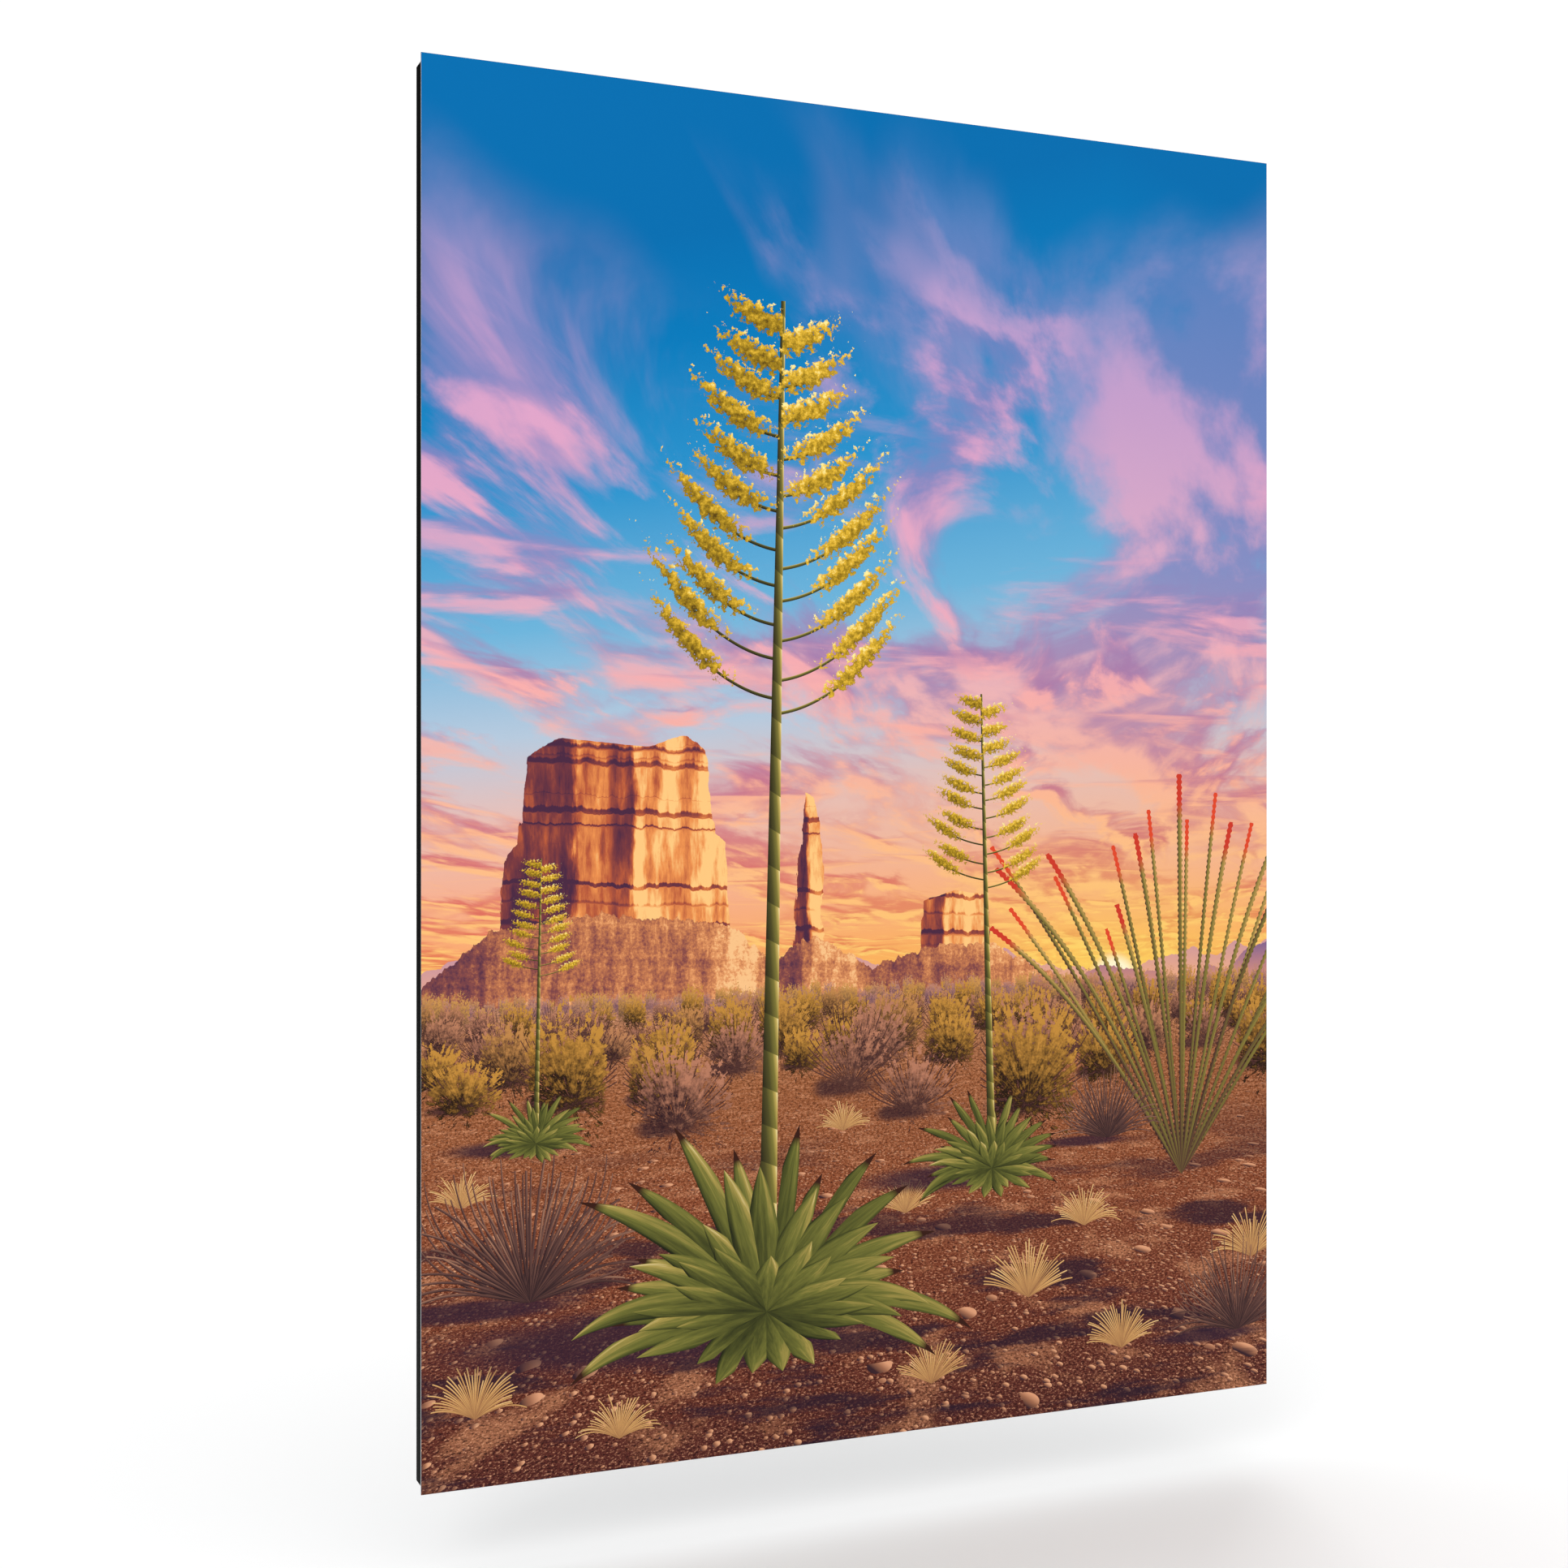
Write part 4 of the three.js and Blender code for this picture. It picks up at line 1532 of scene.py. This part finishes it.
@dataclass
class Fitting:
    """One steel plate let into the back of the frame, with the places of its screws."""

    plate_name: str
    thickness: float = 2.0
    end_radius: float = 3.0
    edge_round: float = 0.35
    clearance: float = 0.3
    hole_radius: float = 2.3
    sink_radius: float = 4.5
    screw_length: float = 16.0
    over: float = 1.0
    sink_over: float = 0.3
    hole_over: float = 0.5
    sink_flats: int = 32
    hole_flats: int = 20
    crease: float = 28.0

    def screw_names(self) -> list[str]:
        """List the CAD nodes of its screws."""
        stem = self.plate_name.replace("_plate_", "_screw_")
        return sorted(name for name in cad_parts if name.startswith(f"{stem}_"))

    def outline(self, grow: float) -> Outline:
        """Draw a straight plate at its place on the panel.

        Args:
            grow: How much wider than the plate the outline is, all round.

        Returns:
            The outline.
        """
        low, high = box_of(self.plate_name)
        width, _, height = high - low
        sizes = (width + 2 * grow, height + 2 * grow, self.end_radius + grow)
        return rounded_rectangle((low + high) / 2, *sizes)

    def add_holes(self, mesh: Mesh, profile: Curve, steps: int) -> None:
        """Add a turned solid at the place of each of the screws.

        Args:
            mesh: The mesh that takes them.
            profile: Their shape, as for add_lathe.
            steps: How many flats stand for a full turn.
        """
        for name in self.screw_names():
            add_lathe(mesh, centre_of(name), profile, steps)

    def openings(self) -> list[Mesh]:
        """Draw what is cut out of the plate, here its countersunk screw holes.

        Returns:
            The meshes.
        """
        mesh = bmesh.new()
        neck = (self.hole_radius, self.hole_radius - self.sink_radius)
        rim = (self.sink_radius + self.sink_over, self.sink_over)
        self.add_holes(mesh, ((self.hole_radius, -self.thickness - self.over), neck, rim), self.sink_flats)
        return [mesh]

    def add_pocket(self, mesh: Mesh) -> None:
        """Add what is routed deeper into the rail behind the plate: nothing."""

    def build(self, material: Material) -> None:
        """Build and dress the plate.

        Args:
            material: The plating.
        """
        mesh = bmesh.new()
        add_prism(mesh, self.outline(0.0), 0.0, -self.thickness, self.edge_round)
        plate = make_piece(mesh, f"{self.plate_name}_pressed", material)
        carve(plate, self.openings())
        hand_over(plate, [self.plate_name], self.crease)


@dataclass
class CornerPlate(Fitting):
    """An L that ties two mitred rails together."""

    leg_width: float = 16.0

    def outline(self, grow: float) -> Outline:
        """Draw the L at its place on the panel.

        Args:
            grow: How much wider than the plate the outline is, all round.

        Returns:
            The outline.
        """
        low, high = box_of(self.plate_name)
        middle = (low + high) / 2
        side_x, side_z = math.copysign(1, middle.x), math.copysign(1, middle.z)
        length, radius = high.x - low.x, self.end_radius
        end, inner, start = grow + length / 2, self.leg_width + grow - length / 2, -length / 2 - grow
        drawn = [
            *arc(end - radius, start + radius, radius, -90, 0),
            *arc(end - radius, inner - radius, radius, 0, 90),
            (inner, inner),
            *arc(inner - radius, end - radius, radius, 0, 90),
            *arc(start + radius, end - radius, radius, 90, 180),
            (start, start),
        ]
        return [(middle.x - side_x * x, middle.z - side_z * z) for x, z in drawn]


@dataclass
class Hanger(Fitting):
    """A keyhole plate over a routed pocket. A wall screw's head goes in low and slides up the slot."""

    entry_radius: float = 4.5
    entry_drop: float = 4.5
    slot_width: float = 4.6
    slot_rise: float = 6.0
    pocket_width: float = 13.0
    pocket_height: float = 24.0
    pocket_depth: float = 12.0
    pocket_radius: float = 6.0

    def openings(self) -> list[Mesh]:
        """Draw what is cut out of the plate: its screw holes, and the keyhole that is punched through it.

        Returns:
            The meshes.
        """
        middle = centre_of(self.plate_name)
        half = self.slot_width / 2
        meeting = math.degrees(math.acos(half / self.entry_radius))
        keyhole = arc(0, -self.entry_drop, self.entry_radius, 180 - meeting, 360 + meeting, steps=24)
        keyhole += arc(0, self.slot_rise, half, 0, 180, steps=12)
        mesh = bmesh.new()
        placed = [(x + middle.x, z + middle.z) for x, z in keyhole]
        add_prism(mesh, placed, self.over, -self.thickness - self.over)
        return [*super().openings(), mesh]

    def add_pocket(self, mesh: Mesh) -> None:
        """Add the pocket that the wall screw's head moves in.

        Args:
            mesh: The mesh of the cuts.
        """
        sizes = (self.pocket_width, self.pocket_height, self.pocket_radius)
        add_prism(mesh, rounded_rectangle(centre_of(self.plate_name), *sizes), self.over, -self.pocket_depth)


@dataclass
class Backing:
    """The black frame that the sheet floats on: mitred rails and a cross brace, with the fittings let in.

    Each board's two faces are eased all round, so that every joint shows as a fine groove. The edges that run
    through its depth stay sharp, so the frame's corners are square.
    """

    fittings: list[Fitting]
    rail_names: tuple[str, ...] = ("rail_bottom", "rail_right", "rail_top", "rail_left")
    brace_name: str = "cross_brace"
    edge_round: float = 0.4
    crease: float = 32.0

    def rail_outline(self, name: str) -> Outline:
        """Draw a rail, mitred at both ends.

        Args:
            name: The rail's CAD node.

        Returns:
            The outline.
        """
        low, high = box_of(name)
        middle, size = (low + high) / 2, high - low
        width = min(size.x, size.z)
        if size.x > size.z:
            step = math.copysign(1, middle.z) * width / 2
            far, near = middle.z + step, middle.z - step
            return [(low.x, far), (high.x, far), (high.x - width, near), (low.x + width, near)]
        step = math.copysign(1, middle.x) * width / 2
        far, near = middle.x + step, middle.x - step
        return [(far, low.z), (far, high.z), (near, high.z - width), (near, low.z + width)]

    def cuts(self) -> list[Mesh]:
        """Draw all that is routed or drilled into the back.

        Returns:
            The meshes: the recesses, the pockets and the screw holes.
        """
        recesses, pockets, holes = bmesh.new(), bmesh.new(), bmesh.new()
        for fitting in self.fittings:
            depth, radius = fitting.thickness + fitting.clearance, fitting.hole_radius
            add_prism(recesses, fitting.outline(fitting.clearance), fitting.over, -depth)
            fitting.add_pocket(pockets)
            bore = ((radius, -fitting.screw_length - fitting.over), (radius, fitting.hole_over))
            fitting.add_holes(holes, bore, fitting.hole_flats)
        return [recesses, pockets, holes]

    def build(self, material: Material) -> None:
        """Build and dress the rails and the brace.

        Args:
            material: The sprayed board.
        """
        outlines = {name: self.rail_outline(name) for name in self.rail_names}
        low, high = box_of(self.brace_name)
        outlines[self.brace_name] = rectangle(low, high)
        for name, outline in outlines.items():
            mesh = bmesh.new()
            add_prism(mesh, outline, high.y, low.y, self.edge_round)
            piece = make_piece(mesh, f"{name}_sprayed", material)
            carve(piece, self.cuts())
            hand_over(piece, [name], self.crease)


@dataclass
class Screws:
    """All the screws, drawn by one tree of geometry nodes and set on the places of the CAD's screws."""

    names: list[str]
    sizes: dict[str, float] = field(
        default_factory=lambda: {
            "Head Radius": 3.8, "Head Height": 2.2, "Shank Radius": 1.8, "Length": 16.0, "Tip": 3.0,
            "Sink": 0.2, "Recess Length": 4.4, "Recess Width": 0.95, "Recess Depth": 1.2,
        }  # fmt: skip
    )
    point_radius: float = 0.15
    weld: float = 0.001
    seed: int = 7
    flats: int = 28
    crease: float = 30.0

    def tree(self, material: Material) -> bpy.types.NodeTree:
        """Build the tree that sets one screw on every point of the mesh it is given.

        Args:
            material: The plating.

        Returns:
            The tree.
        """
        tree = bpy.data.node_groups.new("ScrewsOnPoints", "GeometryNodeTree")
        tree.interface.new_socket("Points", in_out="INPUT", socket_type="NodeSocketGeometry")
        for name in self.sizes:
            tree.interface.new_socket(name, in_out="INPUT", socket_type="NodeSocketFloat")
        tree.interface.new_socket("Seed", in_out="INPUT", socket_type="NodeSocketInt")
        tree.interface.new_socket("Screws", in_out="OUTPUT", socket_type="NodeSocketGeometry")
        node = partial(add_node, tree)
        given = node(Kind("NodeGroupInput")).outputs
        shank_radius, length = given["Shank Radius"], given["Length"]
        head_top = node(MULTIPLY, given["Sink"], -1.0)
        neck = node(SUBTRACT, head_top, given["Head Height"])
        shank_end = node(MULTIPLY, node(SUBTRACT, length, given["Tip"]), -1.0)
        shank = node(SUBTRACT, neck, shank_end)
        stretches = (
            (given["Head Radius"], shank_radius, given["Head Height"], neck),
            (shank_radius, shank_radius, shank, shank_end),
            (shank_radius, self.point_radius, given["Tip"], node(MULTIPLY, length, -1.0)),
        )
        cone_kind, move = Kind("GeometryNodeMeshCone"), Kind("GeometryNodeTransform")
        join = node(Kind("GeometryNodeJoinGeometry"))
        for top, bottom, depth, base in reversed(stretches):
            cone = node(cone_kind, Vertices=self.flats, Radius_Top=top, Radius_Bottom=bottom, Depth=depth)
            plug(join, node(move, Geometry=cone, Translation=node(COMBINE, Z=base)))
        welded = node(Kind("GeometryNodeMergeByDistance"), Geometry=join, Distance=self.weld)
        blades = node(Kind("GeometryNodeJoinGeometry"))
        deep = node(MULTIPLY, given["Recess Depth"], 2.0)
        for sides in (("Recess Length", "Recess Width"), ("Recess Width", "Recess Length")):
            size = node(COMBINE, *(given[side] for side in sides), deep)
            blade = node(Kind("GeometryNodeMeshCube"), Size=size)
            plug(blades, node(move, Geometry=blade, Translation=node(COMBINE, Z=head_top)))
        difference = Kind("GeometryNodeMeshBoolean", {"operation": "DIFFERENCE", "solver": "EXACT"})
        cut = node(difference, Mesh_1=welded, Mesh_2=blades, Self_Intersection=True)
        turn = node(Kind("FunctionNodeRandomValue", {"data_type": "FLOAT"}), 0.0, math.pi, Seed=given["Seed"])
        facing = node(COMBINE, -math.pi / 2, turn)
        scattered = node(
            Kind("GeometryNodeInstanceOnPoints"),
            Points=given["Points"], Instance=cut, Rotation=facing, Scale=(MM, MM, MM),
        )  # fmt: skip
        real = node(Kind("GeometryNodeRealizeInstances"), Geometry=scattered)
        dressed = node(Kind("GeometryNodeSetMaterial"), Geometry=real, Material=material)
        node(Kind("NodeGroupOutput"), Screws=dressed)
        return tree

    def build(self, material: Material) -> None:
        """Build and dress the screws.

        Args:
            material: The plating.
        """
        mesh = bmesh.new()
        for name in self.names:
            middle = centre_of(name)
            mesh.verts.new((middle.x * MM, 0.0, middle.z * MM))
        piece = make_piece(mesh, "frame_screws")
        made = self.tree(material)
        change = piece.modifiers.new("screws", "NODES")
        change.node_group = made
        settings = self.sizes | {"Seed": self.seed}
        for item in made.interface.items_tree:
            if item.name in settings:
                change[item.identifier] = settings[item.name]
        settle(piece)
        hand_over(piece, self.names, self.crease)


@dataclass
class Studio:
    """Camera, soft light and pale floor. Places are in metres in the panel's frame."""

    camera_place: Point = (-0.6756, -1.4728, 0.0)
    camera_turn: float = -22.445
    lens: float = 48.447
    shift_y: float = -0.0066
    floor_gap: float = 0.06
    floor_radius: float = 3.0
    surround: float = 0.9
    shine: float = 0.2
    backdrop: float = 1.05

    def place_camera(self) -> None:
        """Set the camera at the photograph's viewing angle."""
        lens = bpy.data.cameras.new("camera")
        lens.lens = self.lens
        lens.shift_y = self.shift_y
        camera = add_object("camera", lens)
        camera.location = self.camera_place
        camera.rotation_euler = (math.pi / 2, 0.0, math.radians(self.camera_turn))
        bpy.context.scene.camera = camera

    def light_world(self) -> None:
        """Surround the panel with white, of which the shiny surfaces show a part and the view shows all."""
        world = bpy.data.worlds.new("white_studio")
        world.use_nodes = True
        world.node_tree.nodes.clear()
        node = partial(add_node, world.node_tree)
        path = node(Kind("ShaderNodeLightPath")).outputs
        strength = node(CLAMPED, path["Is Glossy Ray"], 0.0, 1.0, self.surround, self.shine)
        strength = node(CLAMPED, path["Is Camera Ray"], 0.0, 1.0, strength, self.backdrop)
        glow = node(Kind("ShaderNodeBackground"), Color="#FFFFFF", Strength=strength)
        node(Kind("ShaderNodeOutputWorld"), Surface=glow)
        bpy.context.scene.world = world

    def add_softbox(self, name: str, place: Point, size: float, watts: float) -> None:
        """Add a square area light that looks at the panel's centre.

        Args:
            name: The light's name.
            place: Where it stands.
            size: Its side.
            watts: Its power.
        """
        lamp = bpy.data.lights.new(name, "AREA")
        lamp.size = size
        lamp.energy = watts
        holder = add_object(name, lamp)
        holder.location = place
        holder.rotation_euler = (-Vector(place)).to_track_quat("-Z", "Y").to_euler()

    def lay_floor(self) -> None:
        """Lay the pale floor a little below the panel."""
        low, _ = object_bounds()
        mesh = bmesh.new()
        bmesh.ops.create_circle(mesh, cap_ends=True, segments=64, radius=self.floor_radius)
        bmesh.ops.translate(mesh, verts=mesh.verts, vec=(0.0, 0.0, low[2] - self.floor_gap))
        make_piece(mesh, "studio_floor", StudioPaper().make())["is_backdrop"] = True

    def build(self) -> None:
        """Set up the camera, the light and the floor."""
        self.lay_floor()
        self.place_camera()
        self.light_world()
        self.add_softbox("front_softbox", (-2.2, -2.4, 1.6), 1.6, 22.0)
        self.add_softbox("rear_softbox", (1.8, 2.6, 1.5), 1.8, 40.0)
        bpy.context.scene.view_settings.view_transform = "Standard"


def dress_tapes(prefix: str = "tape_") -> None:
    """Give the tape strips, whose CAD shape is right, their finish.

    Args:
        prefix: How their nodes' names start.
    """
    material = FoamTape().make()
    for name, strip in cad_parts.items():
        if name.startswith(prefix):
            for slot in strip.material_slots:
                slot.material = material
            log.info("%s: CAD shape, new finish", name)


def main() -> None:
    """Build and dress every piece, and set up the studio."""
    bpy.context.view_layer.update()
    corners = ("top_left", "top_right", "bottom_left", "bottom_right")
    fittings: list[Fitting] = [CornerPlate(f"corner_plate_{corner}") for corner in corners]
    fittings += [Fitting(f"brace_plate_{side}") for side in ("left", "right")]
    fittings += [Hanger(f"hanger_plate_{side}") for side in ("left", "right")]
    PrintSheet().build()
    rim = box_of("rail_left")[0]
    Backing(fittings).build(SprayedFibreboard().make(-rim.x, -rim.z))
    plating = BrightZinc().make()
    for fitting in fittings:
        fitting.build(plating)
    Screws([name for fitting in fittings for name in fitting.screw_names()]).build(YellowZinc().make())
    dress_tapes()
    Studio().build()


if __name__ == "__main__":
    logging.basicConfig(level=logging.INFO, format="%(name)s: %(message)s")
    main()
